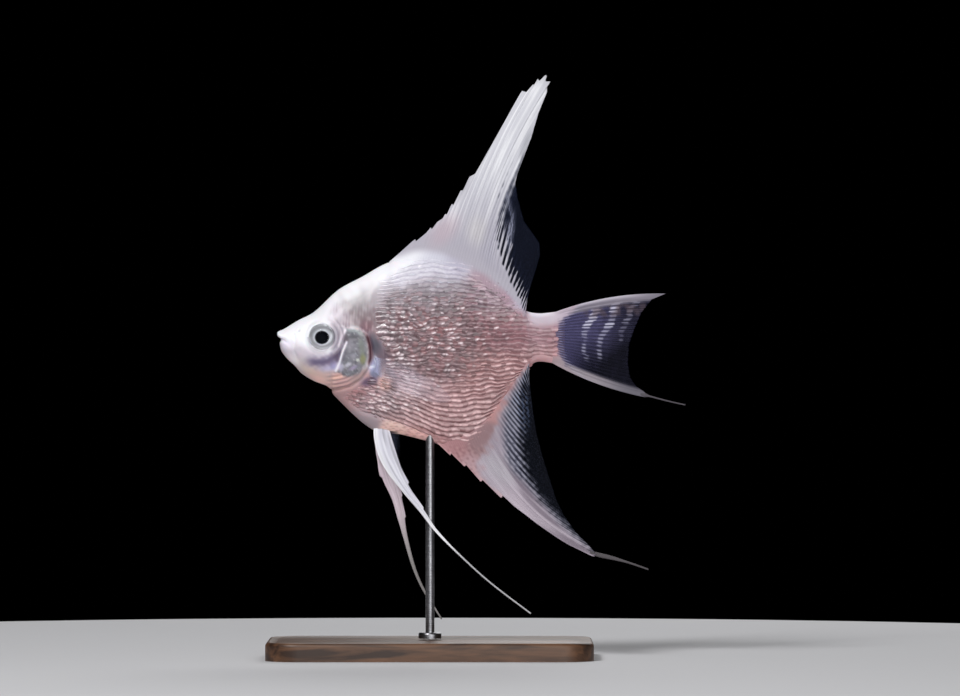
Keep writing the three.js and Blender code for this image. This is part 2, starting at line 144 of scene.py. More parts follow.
# %% Body curves
BODY_LENGTH = 75.5
back_line = profile(
    (0, 0.4), (1.5, 0.9), (5.5, 3.3), (9.9, 5.65), (16.3, 11.5), (22.8, 15.1), (29.8, 18.9),
    (39.8, 21.1), (50.6, 18.1), (60.1, 11.6), (66.0, 6.5), (70.0, 5.3), (BODY_LENGTH, 5.7),
)
belly_line = profile(
    (0, -1.3), (0.35, -2.2), (0.65, -3.6), (1.2, -5.1), (2.6, -6.9), (4.6, -8.8), (6.5, -10.9),
    (9.7, -12.9), (14.1, -14.8), (15.2, -16.8), (25.5, -26.0), (33.6, -27.5), (41.2, -29.4),
    (47.0, -30.9), (53.0, -28.6), (58.0, -23.8), (65.5, -13.2), (68.2, -9.0), (70.5, -7.8), (BODY_LENGTH, -8.4),
)
flank_width = profile(
    (0, 0.9), (0.8, 1.7), (3.4, 3.0), (7.7, 4.6), (12.0, 5.7), (18.0, 6.6), (25.0, 6.95),
    (33.0, 6.9), (42.0, 6.1), (52.0, 4.6), (60.0, 3.2), (66.0, 2.2), (71.0, 1.7), (BODY_LENGTH, 1.2),
)


def height_share(x, z):
    """-1 on the belly line, 1 on the back line."""
    top, bottom = back_line(x), belly_line(x)
    return np.clip((2 * z - top - bottom) / (top - bottom), -1, 1)


def flank(x, z):
    """How far the flank stands out from the mid-plane."""
    return flank_width(x) * (1 - np.abs(height_share(x, z)) ** 2.1) ** 0.75


def sheath(x, z):
    """Half-thickness of the fleshy sheath at the root of the fins on the back and below."""
    above = np.maximum(z - back_line(x), -3)
    below = np.maximum(belly_line(x) - z, -3)
    top = ease(29, 38, x) * ease(69, 66, x) * np.exp(-(((above + 3) / 6.5) ** 2))
    bottom = ease(43, 47, x) * ease(70, 67, x) * np.exp(-(((below + 3) / 6.5) ** 2))
    return 1.25 * np.where(z > -4, top, bottom)


print(f"deepest at x = 43: {back_line(43.0) - belly_line(43.0):.1f} mm")
print(f"widest at x = 27: {2 * flank_width(27.0):.1f} mm")

# %% [markdown]
# ## Small tools for modelling
#
# An operator works on whatever is selected, and the loaded frame is selected all over. So each new piece
# begins with `start_fresh`. `points_of` and `set_points` read and write every corner of a mesh at once, which
# is how a shape is pulled into place by a formula once the operators have made its faces.

# %% Modelling helpers
def start_fresh():
    if bpy.context.object and bpy.context.object.mode != "OBJECT":
        bpy.ops.object.mode_set(mode="OBJECT")
    bpy.ops.object.select_all(action="DESELECT")


def named(name):
    """The object that an operator has just added, given its own name."""
    piece = bpy.context.object
    piece.name = name
    piece.data.name = name
    return piece


def points_of(piece):
    co = np.empty(len(piece.data.vertices) * 3)
    piece.data.vertices.foreach_get("co", co)
    return co.reshape(-1, 3)


def normals_of(piece):
    directions = np.empty(len(piece.data.vertices) * 3, np.float32)
    piece.data.vertices.foreach_get("normal", directions)
    return directions.reshape(-1, 3).astype(float)


def set_points(piece, points):
    piece.data.vertices.foreach_set("co", np.asarray(points, float).ravel())
    piece.data.update()


def apply_modifier(piece, kind, **settings):
    bpy.context.view_layer.objects.active = piece
    modifier = piece.modifiers.new(kind.title(), kind)
    for key, value in settings.items():
        setattr(modifier, key, value)
    bpy.ops.object.modifier_apply(modifier=modifier.name)


def outward(piece):
    """Turns every face of a closed piece to look out of it."""
    start_fresh()
    bpy.context.view_layer.objects.active = piece
    piece.select_set(True)
    bpy.ops.object.mode_set(mode="EDIT")
    bpy.ops.mesh.select_all(action="SELECT")
    bpy.ops.mesh.normals_make_consistent(inside=False)
    bpy.ops.object.mode_set(mode="OBJECT")


def store(piece, name, values, kind="FLOAT"):
    """Keeps a number or a colour for every corner of the mesh, for the material to read."""
    layer = piece.data.attributes.new(name, kind, "POINT")
    layer.data.foreach_set("color" if kind == "FLOAT_COLOR" else "value", np.asarray(values, float).ravel())


def smooth(piece, degrees=180):
    start_fresh()
    bpy.context.view_layer.objects.active = piece
    piece.select_set(True)
    bpy.ops.object.shade_smooth_by_angle(angle=math.radians(degrees))


# %% [markdown]
# ## Folds and plates of the head
#
# The head is smooth at first, and what makes it a head is a few tenths of a millimetre: the crease between
# the lips, the rim of bone round the eye, the crest on the cheek bone, and the loose rear edge of the gill
# cover with its folded membrane below. Each is a line drawn on the flank, raised or sunk by a soft bell.

# %% Relief of the head
MOUTH = [(-0.6, -1.5), (0.8, -1.6), (2.0, -2.1), (3.0, -3.0)]
UPPER_LIP = [(-0.6, -0.7), (1.0, -0.8), (2.4, -1.2), (3.5, -2.2)]
LOWER_LIP = [(-0.2, -2.5), (1.2, -2.6), (2.4, -3.0), (3.3, -3.9)]
JAW_FOLD = [(4.6, -0.6), (4.9, -2.6), (4.5, -4.8), (5.6, -7.4)]
NOSTRIL = {"x": 5.9, "z": 0.6, "size": 0.3}
CHEEK_CREST = [(18.8, -2.6), (17.7, -5.2), (16.9, -8.0), (15.9, -10.3)]
UPPER_CREST = [(18.5, 0.6), (17.4, -1.4), (16.7, -3.6)]
GILL_EDGE = [
    (19.2, 1.6), (22.0, 1.3), (24.3, -0.5), (25.2, -3.6), (25.3, -6.6), (24.6, -9.6),
    (22.8, -12.3), (19.6, -14.3), (16.4, -15.0), (13.9, -15.2),
]
GILL_PLATE = [
    (18.3, 1.0), (17.8, -3.0), (17.0, -7.0), (16.4, -10.6), (18.6, -12.0), (21.6, -11.4),
    (23.6, -9.4), (24.8, -6.6), (24.9, -3.6), (24.0, -0.6), (21.8, 0.8), (18.3, 1.0),
]


def from_eye(x, z):
    return np.hypot(x - EYE["x"], z - EYE["z"])


def head_relief(x, z):
    """How far the skin of the head stands out from the smooth body."""
    rise = -0.18 * bell(path_distance(x, z, MOUTH), 0.24) * ease(3.2, 1.2, x)
    rise += 0.16 * bell(path_distance(x, z, UPPER_LIP), 0.45) * ease(4.0, 1.5, x)
    rise += 0.14 * bell(path_distance(x, z, LOWER_LIP), 0.45) * ease(4.0, 1.5, x)
    rise -= 0.1 * bell(path_distance(x, z, JAW_FOLD), 0.4)
    pit = np.hypot(x - NOSTRIL["x"], z - NOSTRIL["z"])
    rise += 0.06 * bell(pit - 2 * NOSTRIL["size"], 0.3) - 0.18 * bell(pit, NOSTRIL["size"])
    eye = from_eye(x, z)
    rise += 0.12 * bell(eye - 3.75, 0.4) - 0.08 * bell(eye - 4.7, 0.4)
    rise += 0.08 * bell(eye - 5.4, 0.35) * ease(12.5, 15.0, x)
    rise -= 1.7 * ease(3.55, 3.1, eye)
    rise += 0.24 * bell(path_distance(x, z, CHEEK_CREST), 0.32)
    rise -= 0.2 * bell(path_distance(x + 0.9, z, CHEEK_CREST), 0.5)
    rise += 0.16 * bell(path_distance(x, z, UPPER_CREST), 0.35)
    return rise


def gill_relief(x, z):
    """The gill cover's raised plate, its loose rear edge, the slit behind it and the folds below."""
    ahead = -path_distance(x, z, GILL_EDGE)
    near = ease(12.5, 15.5, x) * ease(3.2, 1.6, z)
    rise = 0.24 * ease(-0.15, 0.15, ahead) * np.exp(-np.maximum(ahead, 0) / 2.4)
    rise -= 0.45 * bell(ahead + 0.25, 0.35)
    plate = path_distance(x, z, GILL_PLATE)
    rise += 0.1 * ease(-0.3, 0.3, plate) - 0.1 * bell(plate, 0.25)
    low = ease(-9.0, -11.5, z)
    rise -= 0.12 * low * ease(0.5, 1.0, ahead) * ease(4.6, 3.6, ahead) * np.cos(2 * math.pi * ahead / 1.05)
    return rise * near


# %% [markdown]
# ## The skin: a tube of rings
#
# A fish body could be carved from a ball, but its sections change all along, so it is easier to draw it as
# a tube. A circle is extruded back ring by ring, its two ends are filled, and a simple subdivision makes the
# faces small. Then each point slides to its true place: its ring says how far back it is, its place round
# the ring says how high, and the flank formula says how far out.

# %% The tube
RING_POINTS = 64
RINGS = 80
SKIN_END = 77.6

start_fresh()
bpy.ops.mesh.primitive_circle_add(vertices=RING_POINTS, radius=1, rotation=(0, math.pi / 2, 0))
skin = named("skin")
bpy.ops.object.transform_apply(rotation=True)
bpy.ops.object.mode_set(mode="EDIT")
bpy.ops.mesh.select_all(action="SELECT")
bpy.ops.mesh.edge_face_add()
bpy.ops.mesh.extrude_region_move(TRANSFORM_OT_translate={"value": (1 / RINGS, 0, 0)})
for ring in range(RINGS - 1):
    bpy.ops.mesh.extrude_region_move(TRANSFORM_OT_translate={"value": (1 / RINGS, 0, 0)})
bpy.ops.object.mode_set(mode="OBJECT")
apply_modifier(skin, "SUBSURF", subdivision_type="SIMPLE", levels=2, render_levels=2)
print(f"tube: {len(skin.data.vertices)} points, {len(skin.data.polygons)} faces")

# %% [markdown]
# ## From tube to fish
#
# The rings crowd together at the snout, where the detail is, and spread out towards the tail. At both ends
# the tube closes: the snout rounds off like an egg, and the tail stalk thins to a blade that the tail fin
# hides. Under the scales the skin lies a little deeper than the frame, by the depth of the coat. One outline
# says where the coat is: behind the gill cover, down to a smooth hem along the belly, up to the pale sheaths
# of the fins, and as far as the tail stalk.

# %% Where the scales lie
COAT_DEPTH = 0.3
COAT_EDGE = [
    (25.7, -6.6), (25.0, -10.2), (23.0, -13.2), (18.4, -15.8), (17.0, -17.4), (22.4, -22.3), (28.6, -24.2),
    (33.6, -25.9), (38.5, -27.9), (44.0, -29.5), (51.2, -31.4), (55.2, -27.6), (58.2, -23.0), (60.6, -18.9),
    (62.8, -14.9), (67.3, -10.2), (70.0, -7.2), (75.2, -6.8), (75.6, 1.0), (70.0, 3.4), (66.6, 6.2),
    (64.4, 9.2), (61.4, 12.6), (58.4, 16.0), (55.4, 19.0), (51.0, 20.4), (44.0, 20.8), (37.0, 20.2),
    (31.0, 18.0), (26.6, 15.0), (25.2, 10.6), (25.3, 5.6), (25.8, 2.4), (25.8, 0.0), (26.0, -3.4),
]
PECTORAL_BASE = {"x": 27.3, "z": -7.6, "wide": 2.0, "high": 5.6}


def stalk_end(z):
    """Where flesh gives way to the tail fin: a hollow curve, further back at the top and bottom."""
    return 75.2 + 0.055 * (z + 1.0) ** 2


def depth_in(x, z, outline):
    """Distance inside a closed outline, negative outside it."""
    closed = outline + outline[:1]
    crossings = np.zeros(np.shape(x), int)
    for (ax, az), (bx, bz) in zip(closed[:-1], closed[1:]):
        if az != bz:
            crossings += ((az > z) != (bz > z)) & (x < ax + (z - az) * (bx - ax) / (bz - az))
    away = np.abs(path_distance(x, z, closed))
    return np.where(crossings % 2 == 1, away, -away)


def clear_of_fin(x, z):
    """0 at the bare root of the pectoral fin, 1 away from it."""
    off_x = (x - PECTORAL_BASE["x"]) / PECTORAL_BASE["wide"]
    off_z = (z - PECTORAL_BASE["z"]) / PECTORAL_BASE["high"]
    return ease(0.85, 1.15, np.hypot(off_x, off_z))


def scaly(x, z):
    """1 where scales cover the fish, 0 where its skin is bare."""
    inside = depth_in(x, z, COAT_EDGE)
    return ease(0.0, 1.6 + 1.6 * ease(4, 10, z) * ease(38, 28, x), inside) * clear_of_fin(x, z)


# %% Pull the tube onto the fish
def body_section(u, turn, inside):
    """Fish places for points at share u along the tube, at an angle round it."""
    x = SKIN_END * (0.35 * u + 0.65 * u * u)
    top, bottom = back_line(x), belly_line(x)
    lean = np.arcsin(np.sin(turn))
    v = 0.6 * lean / (math.pi / 2) + 0.4 * np.sin(turn)
    nose = np.clip((x + 0.03) / 1.1, 0, 1)
    round_off = np.sqrt(1 - (1 - nose) ** 2) * inside
    blade = 1 - 0.75 * ease(71.0, SKIN_END, x)
    out = flank_width(x) * (1 - np.abs(v) ** 2.1) ** 0.75 * blade * round_off
    z = (top + bottom) / 2 + v * (top - bottom) / 2 * round_off + 0.35 * (1 - nose)
    x = x + 0.55 * bell(z + 2.0, 0.75) * ease(3.4, 0.4, x)
    return x, np.where(np.cos(turn) < 0, -1, 1) * out, z


tube = points_of(skin)
reach = np.hypot(tube[:, 1], tube[:, 2])
reach = np.where(reach > 0.99, 1, reach)
skin_x, skin_y, skin_z = body_section(tube[:, 0].clip(0, 1), np.arctan2(tube[:, 2], tube[:, 1]), reach)
set_points(skin, in_frame(skin_x, skin_y, skin_z))
outward(skin)
relief = head_relief(skin_x, skin_z) + gill_relief(skin_x, skin_z)
relief -= COAT_DEPTH * scaly(skin_x, skin_z)
relief += 0.006 * waves(skin_x, skin_z, 2.2, 3) * ease(5, 12, skin_x)
set_points(skin, points_of(skin) + normals_of(skin) * relief[:, None] * MM)
smooth(skin)
print(f"skin: relief from {relief.min():.2f} to {relief.max():.2f} mm")

# %% [markdown]
# ## The fish's colours
#
# This fish is white on the forehead and back, taupe and rose along the flank, and salmon on the belly, with
# lilac, grey and peach round the gill cover. Skin and scales have to wear the same markings, so one function
# gives the colour at any place. The body blends zones, some broad and some small, each a tone at a place with
# a reach. Smaller marks are then laid over them one by one, as a painter would: on the head, on the gill
# cover and behind it.

# %% Zones of the body
def tone(red, green, blue):
    """A colour as it looks on a screen, from 0 to 255."""
    return np.array([red, green, blue]) / 255


def linear(colour):
    """The same colour in the even steps that light adds up in."""
    colour = np.clip(colour, 0, 1)
    return np.where(colour <= 0.04045, colour / 12.92, ((colour + 0.055) / 1.055) ** 2.4)


# A few zones below are painted lighter than the fish's own tone, as painted light where chest and belly turn
# down from the lamps.
ZONES = (  # x, z, reach, tone
    (33, 20, 5.0, tone(238, 238, 243)),  # nape
    (32.8, 22.6, 2.4, tone(176, 176, 188)),
    (29.8, 18.8, 1.5, tone(190, 190, 196)),
    (26, 15.5, 3.0, tone(238, 237, 241)),
    (21.5, 7.6, 2.8, tone(142, 135, 140)),  # mottled skin above the gill cover
    (20.0, 4.2, 2.5, tone(146, 133, 137)),
    (23.8, 2.8, 2.0, tone(116, 95, 101)),
    (42, 16, 5.0, tone(200, 199, 212)),  # upper back
    (30, 9, 4.5, tone(172, 163, 170)),
    (27.4, 4.6, 1.9, tone(124, 108, 114)),
    (33, 14, 3.0, tone(214, 211, 220)),  # shoulder
    (42, 9, 5.0, tone(164, 150, 158)),  # upper flank
    (38.6, 12.0, 2.2, tone(186, 178, 188)),
    (47.5, 17.5, 2.2, tone(178, 174, 192)),
    (32, -1, 5.0, tone(152, 130, 137)),  # behind the gill
    (45, -2, 6.0, tone(162, 130, 135)),  # middle flank
    (58, 1, 5.0, tone(160, 117, 124)),  # rear flank
    (62.4, 9.3, 1.6, tone(164, 132, 148)),
    (56.3, 8.6, 2.2, tone(142, 118, 130)),
    (58, 10, 4.5, tone(168, 146, 158)),  # rear back
    (57, -12, 5.0, tone(184, 140, 140)),  # rear belly
    (44, -24, 5.0, tone(174, 132, 134)),  # low belly
    (33, -19, 4.0, tone(188, 162, 168)),  # front belly
    # Painted light as well as colour: this lilac place is painted much paler, to lift the shade of the scale
    # rows over it.
    (33.4, -14.6, 2.8, tone(242, 222, 232)),
    (23, -23.0, 3.0, tone(166, 150, 157)),
    # Painted light as well as colour: the peach belly edge and the hem below it are painted brighter, where the
    # belly turns down from the lamps.
    (31.4, -26.2, 2.2, tone(255, 216, 204)),  # peach skin behind them
    (38, -28.6, 2.5, tone(250, 200, 192)),  # hem of the belly
    (47, -32.0, 3.0, tone(168, 126, 130)),
    (51.5, -36.5, 2.6, tone(178, 148, 154)),
    (19, -17, 4.0, tone(182, 145, 147)),
    # Painted light as well as colour: the chest is painted lighter, as it faces down and forward, away from the
    # lamps.
    (24.2, -18.8, 2.8, tone(232, 200, 208)),  # chest
    (72, 4.4, 2.1, tone(196, 184, 196)),  # top of the tail stalk
    (72, -1, 2.5, tone(162, 124, 132)),  # middle of the tail stalk
    (72, -7, 2.5, tone(186, 146, 150)),  # foot of the tail stalk
    (50, 22, 2.5, tone(172, 167, 180)),  # sheath of the fin above
    (56, 19.6, 2.0, tone(172, 166, 180)),
    (60.8, 14.8, 2.0, tone(178, 170, 186)),
    (65, 9.2, 2.0, tone(190, 181, 198)),
    (55, -29.5, 2.5, tone(150, 122, 126)),  # sheath of the fin below
    (66.0, -13.2, 1.5, tone(160, 126, 130)),
    (61.4, -16.2, 1.6, tone(160, 118, 120)),
)


SHEATH_EDGE = [
    (46.0, 20.8), (52.0, 20.0), (55.0, 18.8), (58.0, 15.8), (61.0, 12.3), (64.0, 9.0), (66.4, 6.0), (67.0, 3.0),
]


def body_colour(x, z):
    """The zones blended, with a painted highlight along the top of the tail stalk and a grey rim under the fin
    on the back.
    """
    total = np.zeros(np.shape(x) + (3,))
    weight = np.full(np.shape(x), 1e-9)
    for zone_x, zone_z, zone_reach, zone_tone in ZONES:
        share = bell(np.hypot(x - zone_x, z - zone_z), zone_reach) + 1e-7
        total += share[..., None] * zone_tone
        weight += share
    # Painted highlight: a pale line along the top edge of the tail stalk.
    stalk_highlight = 0.6 * ease(1.5, 0.2, back_line(x) - z) * ease(66, 69, x) * ease(76, 72, x)
    total += (stalk_highlight * weight)[..., None] * (tone(242, 240, 250) - total / weight[..., None])
    beyond = path_distance(x, z, SHEATH_EDGE) + 0.3 * waves(x, z, 1.2, 31)
    rim = ease(-0.8, 0.7, beyond) * ease(44, 50, x) * ease(68.5, 66, x)
    return lay(total / weight[..., None], rim, tone(170, 164, 180), 0.85)


# %% Marks of the head
def patch(x, z, at, size, soft=0.35, tilt=0.0):
    """1 inside an oval, 0 outside. size is its half-width and half-height, and tilt its turn in degrees."""
    turn = math.radians(tilt)
    along = (x - at[0]) * math.cos(turn) + (z - at[1]) * math.sin(turn)
    across = (z - at[1]) * math.cos(turn) - (x - at[0]) * math.sin(turn)
    return ease(1 + soft, 1 - soft, np.hypot(along / size[0], across / size[1]))


def lay(colour, mask, shade, strength=1.0):
    """Lays a tone over part of a colouring, like a thin coat of paint."""
    return colour + (shade - colour) * np.clip(mask * strength, 0, 1)[..., None]


HEAD_PATCHES = (  # place, half-size, softness, tilt, tone, strength
    ((17.0, -1.6), (2.3, 3.9), 0.6, 6, tone(160, 149, 162), 0.85),  # behind the eye
    ((17.9, 3.4), (2.0, 2.2), 0.7, 0, tone(184, 170, 181), 0.7),
    ((15.6, 4.6), (1.5, 2.8), 0.7, -24, tone(206, 197, 208), 0.7),
    ((24.2, 1.6), (1.6, 1.5), 0.7, -30, tone(124, 86, 98), 0.7),
    ((16.6, -5.9), (0.9, 2.8), 0.6, -14, tone(96, 82, 104), 0.85),  # ahead of the crest
    ((14.6, -9.2), (3.0, 1.1), 0.6, 8, tone(198, 190, 220), 0.8),  # lilac cheek
    ((15.2, -8.8), (0.8, 1.0), 0.6, -14, tone(160, 158, 196), 0.8),
    ((7.6, -8.2), (2.6, 1.3), 0.7, -38, tone(196, 182, 186), 0.6),
    ((8.4, -10.2), (2.2, 1.0), 0.7, -38, tone(222, 200, 190), 0.7),
    ((11.2, -11.6), (2.6, 1.0), 0.7, -26, tone(226, 192, 182), 0.7),
    # Painted light as well as colour: the rosy hem of the jaw is painted lighter, to lift the shade where the
    # jaw turns down.
    ((11.8, -12.9), (3.2, 0.9), 0.7, -22, tone(255, 210, 203), 0.8),  # rosy hem of the jaw
    # Painted light: the chin is painted near white, to lift the shade along its lower edge.
    ((4.0, -7.6), (2.0, 1.4), 0.8, -38, tone(252, 244, 250), 0.8),  # chin
    ((17.0, 4.2), (1.5, 2.0), 0.8, -10, tone(174, 164, 176), 0.6),
    ((20.2, 11.0), (2.6, 2.0), 0.8, 30, tone(250, 250, 253), 0.7),
    # Painted light as well as colour: the corner of the mouth is painted paler, to lift the shade in it.
    ((2.9, -3.2), (1.7, 1.1), 0.8, -20, tone(246, 240, 255), 0.8),  # corner of the mouth
    ((6.0, -4.4), (0.7, 0.5), 0.8, 30, tone(202, 198, 208), 0.6),
)
GILL_PATCHES = (
    ((20.6, -1.1), (1.5, 0.5), 0.5, 0, tone(82, 80, 88), 0.7),
    ((20.6, 0.5), (1.8, 0.45), 0.6, -6, tone(150, 158, 160), 0.8),
    ((22.6, -0.3), (0.9, 0.45), 0.6, -30, tone(172, 180, 178), 0.7),
    ((19.6, -3.4), (1.4, 1.5), 0.6, 0, tone(150, 147, 158), 0.6),
    ((22.9, -4.0), (0.8, 2.6), 0.5, 8, tone(122, 128, 122), 0.7),
    ((23.2, -7.1), (0.75, 1.3), 0.6, 0, tone(132, 134, 92), 0.8),  # yellow-green gleam
    ((21.8, -7.3), (0.45, 0.35), 0.6, 10, tone(214, 218, 208), 0.9),
    ((20.4, -6.3), (1.0, 0.6), 0.6, 0, tone(158, 154, 166), 0.6),
    ((19.2, -8.6), (1.0, 0.5), 0.6, 25, tone(204, 200, 212), 0.8),
    ((20.6, -9.4), (1.2, 0.4), 0.7, 25, tone(166, 152, 186), 0.7),
    ((18.5, -1.8), (0.8, 1.6), 0.5, 10, tone(92, 80, 90), 0.8),
    ((18.2, -6.2), (0.5, 1.9), 0.6, -15, tone(100, 96, 110), 0.7),
    ((17.2, -9.2), (0.8, 1.1), 0.6, 0, tone(196, 190, 214), 0.75),
)
REAR_PATCHES = (
    ((26.7, -3.8), (1.5, 3.2), 0.7, 24, tone(58, 56, 72), 0.9),  # slate patch behind the gill
    ((28.6, -6.4), (1.5, 2.4), 0.6, 20, tone(98, 78, 92), 0.75),
    ((26.3, -9.0), (1.3, 2.4), 0.5, -8, tone(166, 170, 206), 0.9),  # blue-white root of the fin
    ((26.9, -7.6), (0.45, 1.2), 0.5, 18, tone(238, 240, 252), 0.95),
    ((25.7, -9.2), (0.8, 0.35), 0.6, 20, tone(236, 240, 252), 0.85),
    ((26.4, -11.2), (1.2, 1.0), 0.6, 0, tone(118, 124, 152), 0.8),
    ((25.0, -13.2), (2.3, 1.1), 0.6, 12, tone(84, 66, 94), 0.85),
    ((29.3, -13.6), (1.9, 1.9), 0.6, 20, tone(255, 208, 198), 1.0),  # peach patch
    ((31.4, -14.4), (1.0, 1.5), 0.6, 0, tone(104, 82, 88), 0.7),
    ((30.8, -10.8), (2.2, 0.9), 0.7, -50, tone(190, 178, 192), 0.6),
)


FACE_EDGE = GILL_EDGE[:1:-1] + [
    (21.6, 1.8), (18.2, 2.4), (16.8, 4.6), (18.4, 8.6), (23.6, 12.6), (38.0, 22.0),
]


def marking(x, z):
    """The fish's colour at a place on its flank, as screen colours from 0 to 1, with a few painted highlights
    and places painted lighter to lift shade.
    """
    colour = body_colour(x, z)
    streaks = waves(0.6 * x, 1.5 * z, 0.9, 91) * ease(-19, -23, z) * ease(26, 30, x)
    colour = lay(colour, ease(0.0, 0.9, streaks), tone(236, 194, 190), 0.5)
    colour = lay(colour, ease(0.0, 0.9, -streaks), tone(156, 106, 104), 0.45)
    band = bell(path_distance(x, z, SHEATH_EDGE) + 1.4, 1.6) * ease(50, 54, x) * ease(69, 66, x)
    speckle = waves(x, z, 0.9, 93)
    colour = lay(colour, band * ease(0.0, 1.0, speckle), tone(196, 170, 184), 0.45)
    colour = lay(colour, band * ease(0.0, 1.0, -speckle), tone(146, 112, 126), 0.45)
    blend = 1.4 + 2.2 * ease(1, 6, z)
    bare = ease(-blend, blend, path_distance(x, z, FACE_EDGE) + 0.35 * waves(x, z, 2.4, 11))
    low = 0.3 * (x - 6) + z
    face = np.zeros(np.shape(x) + (3,)) + tone(243, 242, 248)
    face = lay(face, ease(-2.0, -5.0, low), tone(206, 197, 208))
    face = lay(face, ease(-6.0, -9.0, low), tone(210, 189, 189))
    face = lay(face, ease(-8.0, -12.0, low) * ease(8, 12, x), tone(236, 192, 184))
    colour = lay(colour, bare, face)
    orbit = from_eye(x, z)
    swing = np.degrees(np.arctan2(z - EYE["z"], x - EYE["x"]))
    band = bell(orbit - 6.45 - 0.012 * np.maximum(-60 - swing, 0), 1.2 + 0.25 * waves(x, z, 1.2, 41))
    band = band * ease(-134, -104, swing) * ease(-12, -34, swing)
    for at, size, soft, tilt, shade, strength in HEAD_PATCHES:
        colour = lay(colour, patch(x, z, at, size, soft, tilt), shade, strength)
    purple = lay(np.zeros_like(colour) + tone(102, 90, 120), ease(-70, -45, swing), tone(78, 66, 90))
    colour = lay(colour, band, purple, 0.95)
    mottle = ease(13.5, 17, x) * ease(-8.0, -4.0, z) * ease(29, 26, x) * ease(10, 5, z)
    grain = waves(1.5 * x, 0.5 * z, 1.0, 43) + 0.8 * waves(x, z, 1.9, 44)
    colour = lay(colour, mottle * ease(-0.1, 1.2, grain), tone(206, 190, 194), 0.34)
    colour = lay(colour, mottle * ease(0.1, -1.2, grain), tone(116, 92, 100), 0.32)

    ahead = -path_distance(x, z, GILL_EDGE)
    folds = 0.5 + 0.5 * np.cos(2 * math.pi * (ahead + 0.25) / 1.05)
    under = ease(-0.2, 0.3, ahead) * ease(-8.4, -10.6, z) * ease(12.0, 17.0, x) * ease(5.4, 4.0, ahead)
    arc = lay(np.zeros_like(colour) + tone(152, 122, 128), folds, tone(206, 162, 158))
    arc = lay(arc, ease(18.5, 22.0, x), tone(140, 122, 118), 0.6)
    colour = lay(colour, under, arc, 0.85)
    colour = lay(colour, patch(x, z, (16.6, -11.9), (2.2, 0.6), 0.6, 12), tone(232, 186, 172), 0.85)

    plate = ease(-0.25, 0.5, path_distance(x, z, GILL_PLATE) + 0.25 * waves(x, z, 1.3, 24))
    metal = np.zeros_like(colour) + tone(112, 111, 119)
    metal = lay(metal, 0.5 + 0.6 * waves(x, z, 1.4, 21), tone(136, 134, 142), 0.75)
    metal = lay(metal, ease(0.5, 1.1, waves(x, z, 0.8, 23)), tone(178, 178, 184), 0.55)
    metal = lay(metal, ease(0.5, 1.1, waves(x, z, 1.1, 25)), tone(84, 82, 92), 0.6)
    colour = lay(colour, plate, metal)
    for at, size, soft, tilt, shade, strength in GILL_PATCHES:
        colour = lay(colour, patch(x, z, at, size, soft, tilt), shade, strength)
    for crest, width in ((CHEEK_CREST, 0.34), (UPPER_CREST, 0.36)):
        colour = lay(colour, bell(path_distance(x, z, crest), width), tone(246, 240, 250))

    for at, size, soft, tilt, shade, strength in REAR_PATCHES:
        behind = ease(0.1, -0.4, ahead)
        colour = lay(colour, behind * patch(x, z, at, size, soft, tilt), shade, strength)
    slit = bell(ahead - 0.05, 0.55) * ease(0.2, -1.6, z) * ease(-9.4, -7.2, z) * ease(20, 22, x)
    colour = lay(colour, slit, tone(80, 44, 54))
    rim = bell(ahead - 0.85, 0.25) * ease(21, 23, x) * ease(-11, -9, z)
    colour = lay(colour, rim, tone(166, 156, 158), 0.5)

    behind_eye = ease(-62, -38, swing) * ease(62, 38, swing)
    for radius, width, shade in (
        (4.1, 0.2, tone(186, 178, 190)),
        (4.6, 0.3, tone(138, 129, 142)),
        (5.4, 0.3, tone(200, 190, 202)),
        (5.95, 0.26, tone(150, 139, 152)),
    ):
        colour = lay(colour, bell(orbit - radius, width) * behind_eye, shade, 0.8)
    corner = bell(orbit - 3.5 + 0.3 * ease(15, 50, np.abs(swing)), 0.36) * ease(70, 40, np.abs(swing))
    colour = lay(colour, corner, tone(112, 108, 119), 0.9)
    soft_rim = lay(np.zeros_like(colour) + tone(222, 222, 228), ease(-20, -70, swing), tone(174, 168, 180))
    colour = lay(colour, bell(orbit - 3.6, 0.3) * (1 - behind_eye), soft_rim, 0.7)
    colour = lay(colour, ease(3.4, 3.1, orbit), tone(60, 58, 66))
    colour = lay(colour, bell(path_distance(x, z, MOUTH), 0.25) * ease(3, 2, x), tone(206, 198, 220), 0.5)
    pit = np.hypot(x - NOSTRIL["x"], z - NOSTRIL["z"])
    return lay(colour, ease(1.4 * NOSTRIL["size"], 0.6 * NOSTRIL["size"], pit), tone(214, 211, 220), 0.8)


def paint(piece, colour):
    """Keeps the colour of each corner of a mesh, for its material."""
    store(piece, "colour", np.column_stack([linear(colour), np.ones(len(colour))]), "FLOAT_COLOR")


paint(skin, marking(skin_x, skin_z))
print("skin painted")

# %% [markdown]
# ## Wet skin
#
# Fish skin is a clear film over colour: light sinks in a little and comes back soft, and the film on top
# shines. A Principled shader with some subsurface light and a clear coat does both. The colour comes from
# the corners of the mesh, and a fine noise keeps the shine from being too even.

